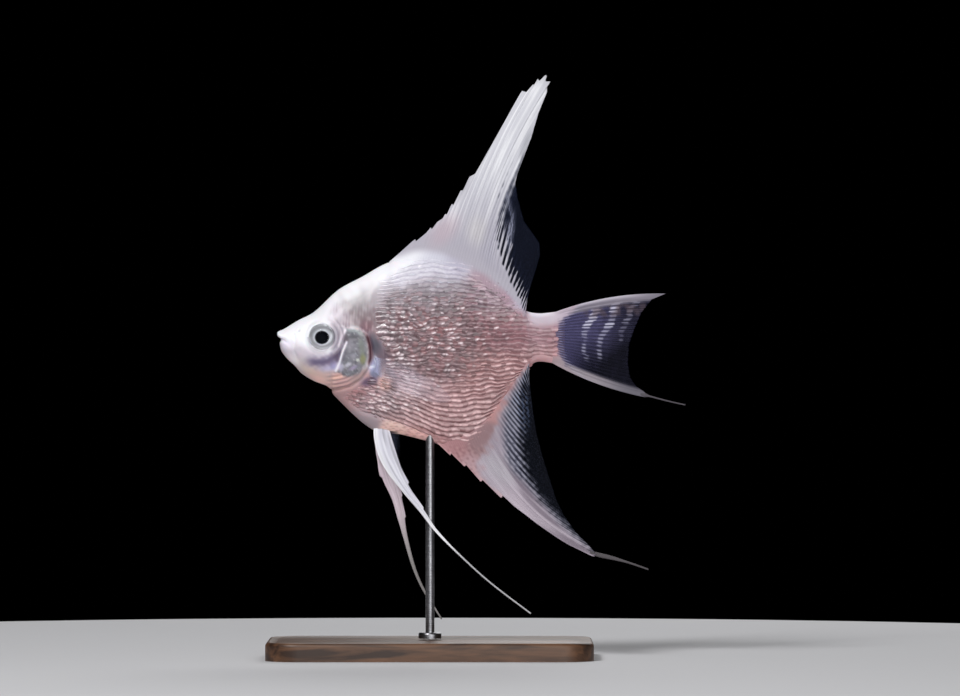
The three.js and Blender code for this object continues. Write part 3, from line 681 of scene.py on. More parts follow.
# %% Materials that read the painted colour
def material(piece, name, roughness=0.4, coat=0.0, bump=0.0, grain=900, subsurface=0.0, shine=0.5):
    """A new material for a piece, with the painted colour, a fine bump, and a film that shines."""
    made = bpy.data.materials.new(name)
    made.use_nodes = True
    nodes, links = made.node_tree.nodes, made.node_tree.links
    shader = nodes["Principled BSDF"]
    shader.inputs["Roughness"].default_value = roughness
    shader.inputs["Specular IOR Level"].default_value = shine
    shader.inputs["Coat Weight"].default_value = coat
    shader.inputs["Coat Roughness"].default_value = 0.18
    shader.inputs["Subsurface Weight"].default_value = subsurface
    shader.inputs["Subsurface Scale"].default_value = 0.0012
    colour = nodes.new("ShaderNodeAttribute")
    colour.attribute_name = "colour"
    links.new(colour.outputs["Color"], shader.inputs["Base Color"])
    if bump:
        place = nodes.new("ShaderNodeTexCoord")
        noise = nodes.new("ShaderNodeTexNoise")
        noise.inputs["Scale"].default_value = grain
        noise.inputs["Detail"].default_value = 3
        links.new(place.outputs["Object"], noise.inputs["Vector"])
        relief_node = nodes.new("ShaderNodeBump")
        relief_node.inputs["Strength"].default_value = bump
        relief_node.inputs["Distance"].default_value = 0.0001
        links.new(noise.outputs["Fac"], relief_node.inputs["Height"])
        links.new(relief_node.outputs["Normal"], shader.inputs["Normal"])
    piece.data.materials.append(made)
    return made


material(skin, "wet skin", roughness=0.5, coat=0.15, bump=0.3, subsurface=0.15, shine=0.35)
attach(skin, "root")
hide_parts("head", "lower_jaw", "gill_cover_left", "gill_cover_right", "trunk", "tail_stalk")
print("skin dressed")

# %% [markdown]
# ## Eyes
#
# An angelfish's eye is a flattened ball in a round socket. A black pupil sits in a thin silver ring, then
# comes a broad grey ring, and a clear dome covers them all. The ball is a sphere whose front is pressed to
# a drawn profile, so the pupil is a real hollow. The dome is half a sphere given a thickness. Two numbers are
# kept on the mesh: distance from the pupil, which one colour ramp turns into rings with edges as crisp as in
# life, and a shade that makes one ring a little darker towards the gill cover and lighter in front.

# %% Eye shapes
EYE_RADIUS = 4.0
DOME_RADIUS = 3.4
PUPIL_PLACE = (0.15, -0.15)
eye_front = profile(
    (0, 0.3), (1.6, 0.32), (1.8, 0.46), (2.0, 0.6), (2.5, 0.54), (3.0, 0.32),
    (3.3, 0.08), (3.6, -0.3), (4.0, -0.8),
)


def eye_bed(x, z):
    """The surface that the eye is set in: mostly the flank's own, flattened a little."""
    level = flank(EYE["x"], EYE["z"]) + 0.16 * (x - EYE["x"]) - 0.08 * (z - EYE["z"])
    return 0.65 * flank(x, z) + 0.35 * level


def eye_ball(name, side):
    """A flattened ball facing out from one flank, with the rings of the eye in its front."""
    start_fresh()
    bpy.ops.mesh.primitive_uv_sphere_add(segments=72, ring_count=56, radius=1, rotation=(math.pi / 2, 0, 0))
    ball = named(name)
    bpy.ops.object.transform_apply(rotation=True)
    unit = points_of(ball)
    off_x, off_z = unit[:, 0] * EYE_RADIUS, unit[:, 2] * EYE_RADIUS
    x, z = EYE["x"] + off_x, EYE["z"] + off_z
    inner = ease(EYE_RADIUS, 2.4, np.hypot(off_x, off_z))
    off_x, off_z = off_x - PUPIL_PLACE[0] * inner, off_z - PUPIL_PLACE[1] * inner
    ring = np.hypot(off_x, off_z)
    rise = np.where(unit[:, 1] * side > 0, eye_front(ring), -0.8 - 1.4 * np.abs(unit[:, 1]))
    set_points(ball, in_frame(x, side * (eye_bed(x, z) + rise), z))
    outward(ball)
    outer = ease(1.9, 2.8, ring)
    oval = np.hypot((off_x - 0.14 * outer) / (1.0 + 0.11 * outer), (off_z - 0.16 * outer) / 0.92)
    store(ball, "ring", oval / EYE_RADIUS)
    rearward = (0.8 * off_x - 0.6 * off_z) / np.maximum(ring, 0.1)
    store(ball, "shade", 1 - 0.12 * rearward * bell(oval - 2.8, 0.5))
    smooth(ball)
    return ball


def eye_dome(name, side):
    """The clear dome over the rings: half a ball, thickened."""
    start_fresh()
    bpy.ops.mesh.primitive_uv_sphere_add(segments=48, ring_count=32, radius=1, rotation=(math.pi / 2, 0, 0))
    dome = named(name)
    bpy.ops.object.transform_apply(rotation=True)
    bpy.ops.object.mode_set(mode="EDIT")
    bpy.ops.mesh.select_all(action="SELECT")
    bpy.ops.mesh.bisect(plane_co=(0, 0.05 * side, 0), plane_no=(0, side, 0), clear_inner=True)
    bpy.ops.object.mode_set(mode="OBJECT")
    unit = points_of(dome)
    x, z = EYE["x"] + unit[:, 0] * DOME_RADIUS, EYE["z"] + unit[:, 2] * DOME_RADIUS
    out = eye_bed(x, z) - 0.3 + 1.15 * np.abs(unit[:, 1])
    set_points(dome, in_frame(x, side * out, z))
    apply_modifier(dome, "SOLIDIFY", thickness=0.1 * MM, offset=1)
    outward(dome)
    smooth(dome, 50)
    return dome


# %% Eye materials
def ring_ramp(made, stops):
    """Colours a material by distance from the pupil: (share of the radius, screen colour) stops."""
    nodes, links = made.node_tree.nodes, made.node_tree.links
    ring = nodes.new("ShaderNodeAttribute")
    ring.attribute_name = "ring"
    place = nodes.new("ShaderNodeTexCoord")
    noise = nodes.new("ShaderNodeTexNoise")
    noise.inputs["Scale"].default_value = 1600
    links.new(place.outputs["Object"], noise.inputs["Vector"])
    jitter = nodes.new("ShaderNodeMath")
    jitter.operation = "MULTIPLY_ADD"
    jitter.inputs[1].default_value = 0.03
    links.new(noise.outputs["Fac"], jitter.inputs[0])
    links.new(ring.outputs["Fac"], jitter.inputs[2])
    ramp = nodes.new("ShaderNodeValToRGB")
    links.new(jitter.outputs[0], ramp.inputs["Fac"])
    entries = ramp.color_ramp.elements
    while len(entries) < len(stops):
        entries.new(1.0)
    for entry, (share, shade) in zip(entries, stops):
        entry.position = share
        entry.color = (*linear(shade), 1)
    shade = nodes.new("ShaderNodeAttribute")
    shade.attribute_name = "shade"
    mix = nodes.new("ShaderNodeMix")
    mix.data_type = "RGBA"
    mix.blend_type = "MULTIPLY"
    mix.inputs["Factor"].default_value = 1.0
    links.new(ramp.outputs["Color"], mix.inputs["A"])
    links.new(shade.outputs["Color"], mix.inputs["B"])
    links.new(mix.outputs["Result"], nodes["Principled BSDF"].inputs["Base Color"])


EYE_STOPS = (
    (0.0, tone(2, 3, 8)),
    (0.46, tone(3, 4, 10)),
    (0.49, tone(122, 124, 132)),
    (0.53, tone(220, 222, 230)),
    (0.59, tone(210, 212, 219)),
    (0.64, tone(180, 182, 189)),
    (0.70, tone(164, 164, 172)),
    (0.75, tone(168, 168, 176)),
    (0.84, tone(206, 207, 213)),
    (0.92, tone(224, 223, 230)),
)
iris = bpy.data.materials.new("iris")
iris.use_nodes = True
iris.node_tree.nodes["Principled BSDF"].inputs["Roughness"].default_value = 0.55
iris.node_tree.nodes["Principled BSDF"].inputs["Specular IOR Level"].default_value = 0.06
ring_ramp(iris, EYE_STOPS)
clear = bpy.data.materials.new("clear dome")
clear.use_nodes = True
clear_shader = clear.node_tree.nodes["Principled BSDF"]
clear_shader.inputs["Base Color"].default_value = (1, 1, 1, 1)
clear_shader.inputs["Transmission Weight"].default_value = 1.0
clear_shader.inputs["Roughness"].default_value = 0.03
clear_shader.inputs["IOR"].default_value = 1.08

for name, side in SIDES.items():
    ball = eye_ball(f"eyeball_{name}", side)
    ball.data.materials.append(iris)
    dome = eye_dome(f"cornea_{name}", side)
    dome.data.materials.append(clear)
    for piece in (ball, dome):
        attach(piece, "root")
        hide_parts(f"eye_{name}")
print("eyes made")

# %% [markdown]
# ## The coat of scales
#
# Scales lie in rows, each one overlapping the next towards the tail, and each is a thin plate with a low
# keel. One plate is modelled: a small grid, extruded down into a closed solid. The rows run level in the
# middle of the flank and sag towards the belly, with a slow wave that neighbouring rows share. Copies of
# the plate are then bent onto the flank, row by row, as one mesh for each side. Plates are smallest along
# the gill cover, the back and the fins. The real coat shines in groups of scales with dull blotches between,
# so seeded noise gathers painted glints, white highlights laid into the scale colour, inside a few broad
# regions of the flank, chest and belly. Each keel also takes a paler tone as a painted highlight, and the
# rest of each plate a darker one as painted shade in the grooves between rows.

# %% One scale
ALONG, ACROSS = 4, 6
start_fresh()
bpy.ops.mesh.primitive_grid_add(x_subdivisions=ALONG, y_subdivisions=ACROSS, size=1)
one_scale = named("one_scale")
bpy.ops.object.mode_set(mode="EDIT")
bpy.ops.mesh.select_all(action="SELECT")
bpy.ops.mesh.extrude_region_move(TRANSFORM_OT_translate={"value": (0, 0, -1)})
bpy.ops.mesh.dissolve_faces()
bpy.ops.object.mode_set(mode="OBJECT")
outward(one_scale)
scale_points = points_of(one_scale)
scale_faces = [tuple(face.vertices) for face in one_scale.data.polygons]
bpy.data.objects.remove(one_scale)
print(f"one scale: {len(scale_points)} points, {len(scale_faces)} faces")

# %% Rows
low_droop = profile(
    (10, 9.4), (22, 7.9), (30, 6.0), (36, 3.7), (42, 0.8), (47, 0.0),
    (54, 1.0), (60, 3.2), (66, 5.6), (80, 8.0),
)
top_droop = profile((10, -4.0), (27, -2.5), (42, 0.0), (54, -2.0), (66, -6.0), (80, -7.0))
row_gap = profile((-40, 1.25), (-22, 1.3), (-12, 1.4), (6, 1.35), (12, 1.3), (30, 1.2))
column_gap = profile((10, 1.15), (22, 1.2), (48, 1.2), (56, 1.35), (68, 1.15), (80, 1.1))


def row_height(x, row):
    """The height of a row of scales at x. row is its height at the middle of the fish."""
    low, top = ease(-5, -25, row), ease(5, 20, row)
    calm = ease(46, 56, x) * ease(2, -9, row) * ease(73, 67, x)
    kink_x = 61.5 + (row + 15.0) / 1.3
    kink = -0.9 * np.exp(-np.abs(x - kink_x) / 3.0) * ease(-5, -10, row) * ease(46, 52, x)
    drift = 0.24 * waves(x, 0.8 * row, 8.0, 51) + 0.07 * waves(x, row, 2.6, 52)
    ripple = (0.06 + 0.28 * calm) * waves(x + 0.35 * row, 0.7 * row, 4.4, 53)
    return row + low_droop(x) * low + top_droop(x) * top + ripple + kink + drift


def steps(start, end, gap):
    """Positions from start to end, with a spacing that changes along the way."""
    places = [start]
    while places[-1] < end:
        places.append(places[-1] + float(gap(places[-1])))
    return np.array(places)


# %% Where the coat is broken, dull or carries painted glints
# The glints that these regions gather are painted highlights, white laid into the scale colour.
GLINT_REGIONS = (  # place, half-size, share of the scales that glint
    ((33.0, -2.0), (6.0, 9.0), 0.75),  # behind the gill cover
    ((45.0, -2.0), (7.0, 8.0), 0.65),  # middle of the flank
    ((26.0, -19.0), (5.0, 3.0), 1.0),  # chest
    ((35.0, -18.0), (5.0, 3.0), 0.6),  # front of the belly
    ((57.0, 0.0), (6.0, 10.0), 0.3),  # rear of the flank
)


def broken(x, z):
    """1 where the rows break up into single scales with their own painted glints, 0 where they run on in clean,
    unbroken keel lines.
    """
    middle = patch(x, z, (43.0, -1.0), (17.5, 13.0), 0.4)
    high = 0.8 * patch(x, z, (57.0, 8.0), (9.0, 8.0), 0.4)
    return np.maximum(np.maximum(middle, high), patch(x, z, (26.0, -18.0), (9.0, 5.0), 0.5))


def plain(x, z):
    """1 where the coat is so fine that its rows hardly show: high on the rear, low down, on the tail stalk."""
    high = 0.8 * ease(3.0, 9.0, z + 0.25 * (x - 50)) * ease(50, 56, x)
    low = 0.6 * patch(x, z, (39.0, -15.0), (7.0, 2.6), 0.7)
    return np.maximum(np.maximum(high, low), (0.4 + 0.6 * ease(-1.5, 1.5, z)) * ease(66, 71, x))


def dullness(x, z):
    """1 in the soft dark blotches of the middle flank, where the painted glints and keel highlights fade out.
    """
    blotch = ease(0.25, 0.85, waves(1.2 * x, z, 2.6, 68) + 0.35 * waves(x, z, 1.2, 69))
    return 0.85 * blotch * broken(x, z) * ease(12, 8, z) * ease(-16, -12, z)


def brightness(x, z):
    """The share of scales that take a painted glint. They gather in drifts a few scales across, drawn out along
    the rows.
    """
    bright = 0.05 + 0.25 * broken(x, z) * ease(11, 7, z)
    for at, size, share in GLINT_REGIONS:
        bright = np.maximum(bright, share * patch(x, z, at, size, 0.6))
    runs = ease(-0.7, 0.7, waves(0.55 * x, 2.2 * z, 2.6, 61))
    drifts = ease(-0.8, 0.8, waves(0.9 * x, 0.8 * z, 3.0, 67))
    return bright * (0.4 + 1.1 * runs) * (0.65 + 0.6 * drifts)


# %% Colour of the coat
def coat_colour(x, z, keel, spot, luck, hue, room):
    """Scale colour, with painted light: keel is 1 on the keel, which takes a painted highlight, spot 1 where a
    painted glint goes, and room 0 at the edge of the coat. The rest of each plate is darkened as painted shade.

    luck and hue are the scale's own chance, from 0 to 1.
    """
    base = marking(x, z)
    grey = base.mean(axis=-1, keepdims=True)
    base = grey + (base - grey) * (1.2 - 0.3 * plain(x, z))[..., None]
    dull, rough = dullness(x, z), broken(x, z)
    fine = plain(x, z)
    back = ease(11.0, 17.5, z + 0.6 * (36 - x).clip(0, 9) + 1.6 * waves(x, z, 4.0, 63)) * ease(60, 42, x)
    base = base * (1 + (0.1 + 0.26 * rough + 0.2 * fine) * (hue - 0.5))[..., None]
    rosy = 0.35 + 0.3 * patch(x, z, (42.0, 0.0), (9.0, 7.0), 0.8)
    base = lay(base, rough * ease(0.6, 0.8, (hue * 7) % 1) * rosy * (1 - 0.8 * fine), tone(186, 116, 120))
    greyed = rough * ease(0.3, 0.1, (hue * 7) % 1)
    base = lay(base, greyed, tone(128, 108, 114), 0.35 * (1 - fine) * (1 - back))
    salmon = np.clip(ease(44, 56, x) * ease(-1, -7, z) + ease(-10, -17, z), 0, 1)
    # The keel's paler tone is a painted highlight: pink-white, salmon low on the rear and white on the back.
    # strength sets how much of it each scale takes.
    light = lay(np.zeros_like(base) + tone(228, 202, 209), salmon, tone(252, 214, 215))
    light = lay(light, back, tone(248, 248, 252))
    bright = brightness(x, z)
    strength = 0.08 + 0.4 * rough * ease(0.95, 0.15, luck) + 0.3 * back + 0.35 * ease(0.2, 0.9, bright)
    strength = strength + 0.35 * ease(0.6, 1.0, bright) * ease(0.9, 0.3, luck)
    strength = strength + salmon * (1 - rough) * (0.15 + 0.75 * hue) + 0.25 * fine * hue
    strength = np.clip(strength * (1 - 0.85 * dull) * (1 - 0.35 * fine) * room, 0, 1)
    # The darker body of each plate is painted shade in the grooves between rows: lighter on the back and where
    # the coat is fine, and none at the edge of the coat.
    shade = 0.8 - 0.1 * rough - 0.08 * salmon * (1 - rough) + 0.16 * back + 0.16 * fine
    shade = 1 - (1 - shade) * room
    shaded_furrow = lay(base * shade[..., None], salmon * (1 - rough), tone(126, 82, 86), 0.4)
    shaded_furrow = lay(shaded_furrow, back * room, tone(188, 184, 200), 0.6)
    shaded_furrow = lay(shaded_furrow, dull * (1 - 0.7 * ease(9, 13, z)), tone(86, 59, 65), 0.85)
    colour = lay(shaded_furrow, keel, light, 1.0) * strength[..., None] + shaded_furrow * (1 - strength[..., None])
    # Painted glint: on a share of the scales a white highlight is laid near the rear of the keel.
    glint = ease(0, 0.12, bright * (1 - dull) * room - luck)
    return lay(colour, spot * glint * (1 - 0.4 * fine) * (0.6 + 0.4 * hue), tone(255, 249, 252))


# %% Bend the plates onto the flank
def flank_surface(x, z, side):
    """Places and outward directions on the skin under the coat, and on the sheaths of the fins."""
    def out(px, pz):
        body, root = flank(px, pz) - COAT_DEPTH, sheath(px, pz) - 0.1
        return (body + root + np.sqrt((body - root) ** 2 + 0.04)) / 2

    across = (out(x + 0.05, z) - out(x - 0.05, z)) / 0.1
    upward = (out(x, z + 0.05) - out(x, z - 0.05)) / 0.1
    size = np.sqrt(1 + across**2 + upward**2)
    return out(x, z) * side, -across / size, side / size, -upward / size


def coat(name, side, seed):
    """One flank's scales as one mesh."""
    chance = np.random.default_rng(seed)
    roots = []
    for n, row in enumerate(steps(-40.0, 30.0, row_gap)):
        for x in steps(12.0 + (n % 2) * 0.7, 78.0, column_gap):
            roots.append((x, row, float(row_gap(row)), float(column_gap(x))))
    x, row, high, long = np.array(roots).T
    x = x + chance.uniform(-0.3, 0.3, len(x))
    rough = broken(x, row_height(x, row))
    loose = 0.07 + rough * (0.2 + 0.25 * plain(x, row_height(x, row))) + 0.22 * ease(65, 70, x)
    row = row + chance.uniform(-1, 1, len(x)) * loose
    z = row_height(x, row)
    inside = depth_in(x, z, COAT_EDGE)
    reach = 2.0 + 2.6 * ease(4, 10, z) * ease(38, 28, x) + 2.6 * ease(66, 71, x)
    room = np.clip(inside / reach, 0, 1)
    ragged = 0.12 + 1.3 * chance.uniform(0, 1, len(x)) * ease(0, 4, z) * ease(33, 27, x)
    kept = (inside > ragged) & (clear_of_fin(x, z) > 0.5)
    x, row, high, long, room, rough = (values[kept] for values in (x, row, high, long, room, rough))
    luck, hue = chance.uniform(0, 1, (2, len(x)))
    offset = chance.uniform(-0.22, 0.22, len(x))
    lean = chance.uniform(0.6, 1.35, len(x))
    turn = chance.uniform(-0.2, 0.2, len(x)) * rough

    a, b, top = scale_points[:, 0], scale_points[:, 1] * 2, scale_points[:, 2] > -0.5
    b = np.sign(b) * np.abs(b) ** 1.3
    round_end = 1 - 0.32 * b**2
    size = (0.6 + 0.4 * room)[:, None]
    along = size * long[:, None] * 1.95 * (a * np.where(a > 0, round_end, 1 - 0.15 * b**2))[None]
    across = size * high[:, None] * 0.66 * b[None] * (1 - 0.18 * np.abs(a) * 2)[None]
    px = x[:, None] + along
    pz = row_height(px, row[:, None] + across) + turn[:, None] * along
    calm = (1 - rough)[:, None]
    quiet = np.clip(plain(px, pz) + 0.25 * ease(10, 16, pz), 0, 1)
    lift = (-0.1 + (0.28 - 0.14 * calm) * (a + 0.5)[None] * lean[:, None]) * (0.5 + 0.5 * room)[:, None]
    sharp = 0.5 - 0.12 * rough[:, None]
    keel = np.exp(-(((b[None] - offset[:, None] * (1 - 0.7 * calm)) / sharp) ** 2))
    own_height = 0.2 + 0.1 * rough[:, None] * (0.5 - luck[:, None])
    height = own_height * (0.15 + 0.85 * room)[:, None] * (1 - 0.7 * quiet) * (1 - 0.8 * dullness(px, pz))
    rise = lift * (1 - 0.5 * quiet) + height * keel - 0.1 * (b**2)[None]
    rise = np.where(top[None], rise, np.minimum(rise, 0) - 0.16)
    y, nx, ny, nz = flank_surface(px, pz, side)
    rise = rise + COAT_DEPTH * 0.1
    places = in_frame((px + nx * rise).ravel(), (y + ny * rise).ravel(), (pz + nz * rise).ravel())

    count = len(scale_points)
    flip = side > 0
    loops = [tuple(reversed(face)) if flip else face for face in scale_faces]
    faces = [tuple(corner + count * n for corner in face) for n in range(len(x)) for face in loops]
    mesh = bpy.data.meshes.new(name)
    mesh.from_pydata(places.tolist(), [], faces)
    piece = bpy.data.objects.new(name, mesh)
    bpy.context.collection.objects.link(piece)
    # Where each plate takes its painted highlight, along the keel, and its painted glint, near the rear.
    middle = np.exp(-(((a[None] - 0.2) / 0.34) ** 2))
    shown = keel * np.where(top, 1, 0)[None] * (1 - (0.38 + 0.45 * rough[:, None]) * (1 - middle))
    spot = shown**2 * np.exp(-(((a[None] - 0.2) / (0.12 + 0.18 * hue[:, None])) ** 2))
    colour = coat_colour(px, pz, shown, spot, luck[:, None], hue[:, None], room[:, None])
    paint(piece, colour.reshape(-1, 3))

    layer = mesh.uv_layers.new(name="OFBake")
    corner_of = np.empty(len(mesh.loops), int)
    mesh.loops.foreach_get("vertex_index", corner_of)
    which = corner_of % count
    root_x, root_z = np.repeat(x, count)[corner_of], np.repeat(row_height(x, row), count)[corner_of]
    round_way = root_z * (1 + 0.1 * height_share(root_x, root_z) ** 2)
    u = 0.03 + 0.94 * root_x / 80 + 0.003 * scale_points[which, 0]
    v = 0.5 + 0.94 * round_way / 80 + 0.003 * scale_points[which, 1]
    layer.data.foreach_set("uv", np.column_stack([u, v]).ravel())
    smooth(piece, 60)
    print(f"{name}: {len(x)} scales, {sum(len(face) - 2 for face in loops) * len(x)} triangles")
    return piece


# %% Fine streaks over the coat
def streaked(made, scale, strength):
    """Breaks a painted colour with a fine noise, stretched along the fish, that lightens and darkens it."""
    nodes, links = made.node_tree.nodes, made.node_tree.links
    shader = nodes["Principled BSDF"]
    painted = next(node for node in nodes if node.type == "ATTRIBUTE")
    place = nodes.new("ShaderNodeTexCoord")
    stretch = nodes.new("ShaderNodeMapping")
    stretch.inputs["Scale"].default_value = scale
    noise = nodes.new("ShaderNodeTexNoise")
    noise.inputs["Scale"].default_value = 1.0
    noise.inputs["Detail"].default_value = 2
    ramp = nodes.new("ShaderNodeValToRGB")
    ramp.color_ramp.elements[0].position = 0.3
    ramp.color_ramp.elements[0].color = (0.35, 0.32, 0.33, 1)
    ramp.color_ramp.elements[1].position = 0.7
    ramp.color_ramp.elements[1].color = (0.68, 0.68, 0.68, 1)
    mix = nodes.new("ShaderNodeMix")
    mix.data_type = "RGBA"
    mix.blend_type = "OVERLAY"
    mix.inputs["Factor"].default_value = strength
    links.new(place.outputs["Object"], stretch.inputs["Vector"])
    links.new(stretch.outputs["Vector"], noise.inputs["Vector"])
    links.new(noise.outputs["Fac"], ramp.inputs["Fac"])
    links.new(painted.outputs["Color"], mix.inputs["A"])
    links.new(ramp.outputs["Color"], mix.inputs["B"])
    links.new(mix.outputs["Result"], shader.inputs["Base Color"])


# %% Scales on both sides
for name, side in SIDES.items():
    piece = coat(f"scales_{name}", side, 40 + side)
    made = material(piece, f"scales {name}", roughness=0.32, coat=0.35)
    streaked(made, (600, 600, 1900), 0.45)
    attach(piece, "root")

# %% [markdown]
# ## Fins: a fan of rays
#
# A fin is a skin stretched over thin rays, which spread like the ribs of a fan. Each ray runs from its root
# to its tip with a slight bow. One builder makes all the fans: a grid with a few columns of faces to each
# ray, thickened, and then every column of it is laid along its ray. Over a ray the fin is thick, between
# rays it is as thin as paper, and at the root it swells into the sheath that joins it to the body.

# %% The fan builder
RAY_COLUMNS = 6
COLUMN_AT = (0.0, 0.14, 0.32, 0.5, 0.68, 0.86, 1.0)


def fan_grid(name, rays, rows):
    """A thick grid. Gives the piece, and for each point its ray, its share from root to tip, and its face."""
    start_fresh()
    bpy.ops.mesh.primitive_grid_add(x_subdivisions=rays * RAY_COLUMNS, y_subdivisions=rows, size=2)
    fin = named(name)
    apply_modifier(fin, "SOLIDIFY", thickness=0.5, offset=0)
    grid = points_of(fin)
    step = (grid[:, 0] + 1) / 2 * rays * RAY_COLUMNS
    whole = np.floor(step / RAY_COLUMNS + 1e-4)
    ray = whole + np.interp(step - whole * RAY_COLUMNS, range(RAY_COLUMNS + 1), COLUMN_AT)
    return fin, ray, (grid[:, 1] + 1) / 2, np.sign(grid[:, 2])


def crest_of(ray, split):
    """1 on a ray, 0 in the web between. split moves the crest into two, as rays branch towards the edge."""
    part = (ray + 0.5) % 1 - 0.5
    return np.maximum(bell(part - split, 0.2), bell(part + split, 0.2))


def along_rays(root, tip, bow, share):
    """Places along bowed rays: root and tip are (x, z), bow the sideways bend as a share of the length."""
    (rx, rz), (tx, tz) = root, tip
    cx, cz = (rx + tx) / 2 - (tz - rz) * bow, (rz + tz) / 2 + (tx - rx) * bow
    near, mid, far = (1 - share) ** 2, 2 * share * (1 - share), share**2
    return near * rx + mid * cx + far * tx, near * rz + mid * cz + far * tz


def table(rows):
    """Straight stretches between the rows of a table of ray, x and z."""
    ray, x, z = np.array(rows, float).T
    return lambda at: (np.interp(at, ray, x), np.interp(at, ray, z))


def curve_of(rows):
    at, value = np.array(rows, float).T
    return lambda position: np.interp(position, at, value)


def body_of_fin(fin, x, z, sway, half, face):
    """Places the fin's points and shades it."""
    set_points(fin, in_frame(x, sway + face * half, z))
    outward(fin)
    smooth(fin)


def fin_looks(fin, name, colour, alpha, nodes, roughness=0.6):
    store(fin, "colour", np.column_stack([linear(colour), np.clip(alpha, 0, 1)]), "FLOAT_COLOR")
    made = material(fin, name, roughness=roughness, shine=0.05)
    reader = next(node for node in made.node_tree.nodes if node.type == "ATTRIBUTE")
    made.node_tree.links.new(reader.outputs["Alpha"], made.node_tree.nodes["Principled BSDF"].inputs["Alpha"])
    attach(fin, "root")
    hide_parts(*nodes)
    print(f"{fin.name}: {len(fin.data.polygons)} faces")


# %% [markdown]
# ## The fin on the back
#
# Its front rays are short spines whose tips make a saw along the edge, the middle rays run up to the high
# frayed tip, and the rear rays fall back to the tail stalk. The front is white and the rear a dark, clear
# navy, with the foot of each ray showing white against it like the teeth of a comb.

# %% Dorsal fin
DORSAL_RAYS = 52
DORSAL_TIPS = table((  # ray, x, z: first the spines, each with the notch behind it
    (0, 30.2, 19.2), (1.2, 33.0, 21.6), (2.6, 36.3, 24.6), (3.0, 37.2, 25.3), (3.15, 37.4, 24.7),
    (4.4, 40.2, 27.0), (5.0, 41.4, 28.5), (5.15, 41.7, 28.0), (5.7, 43.2, 30.0), (6.1, 44.6, 30.9),
    (6.4, 45.3, 32.1), (6.55, 45.8, 32.0), (7.1, 47.1, 34.9), (7.25, 47.5, 34.5), (8.1, 49.5, 38.5),
    (8.25, 50.1, 38.5), (8.9, 51.8, 42.1), (9.2, 53.4, 43.0), (9.6, 54.9, 45.6), (10.9, 66.0, 65.4),
    (11.35, 67.2, 65.0), (12.0, 69.0, 67.1), (12.3, 69.6, 66.9), (12.6, 70.3, 68.7), (12.75, 70.7, 68.0),
    (13.1, 72.4, 69.7), (13.3, 72.8, 69.4), (13.5, 72.3, 67.9), (13.8, 73.8, 67.9), (14.0, 72.8, 66.5),
    (14.3, 72.8, 65.0), (15.0, 70.5, 59.4), (15.8, 68.5, 52.6), (17.2, 64.8, 43.0), (17.7, 64.2, 40.4),
    (18.3, 64.9, 36.0), (19.2, 66.6, 30.0), (20.2, 69.0, 26.7), (20.9, 70.7, 24.2), (21.7, 70.9, 21.0),
    (22.5, 69.8, 17.2), (23.3, 68.3, 12.4), (24, 67.1, 8.2),
))
DORSAL_BOW = curve_of(((0, 0), (9, 0.06), (11, 0.08), (14, 0.1), (19, 0.04), (24, 0)))
DORSAL_DARK = [
    (64.6, 46.0), (63.3, 42.5), (61.6, 39.5), (60.2, 36.0), (59.3, 32.0), (59.0, 28.0), (59.4, 24.5),
    (60.1, 21.0), (60.9, 18.8), (61.9, 16.2), (63.4, 13.2), (64.8, 10.4), (66.2, 7.6), (67.2, 5.0),
]
COMB = 2.8
NAVY = tone(14, 18, 32)


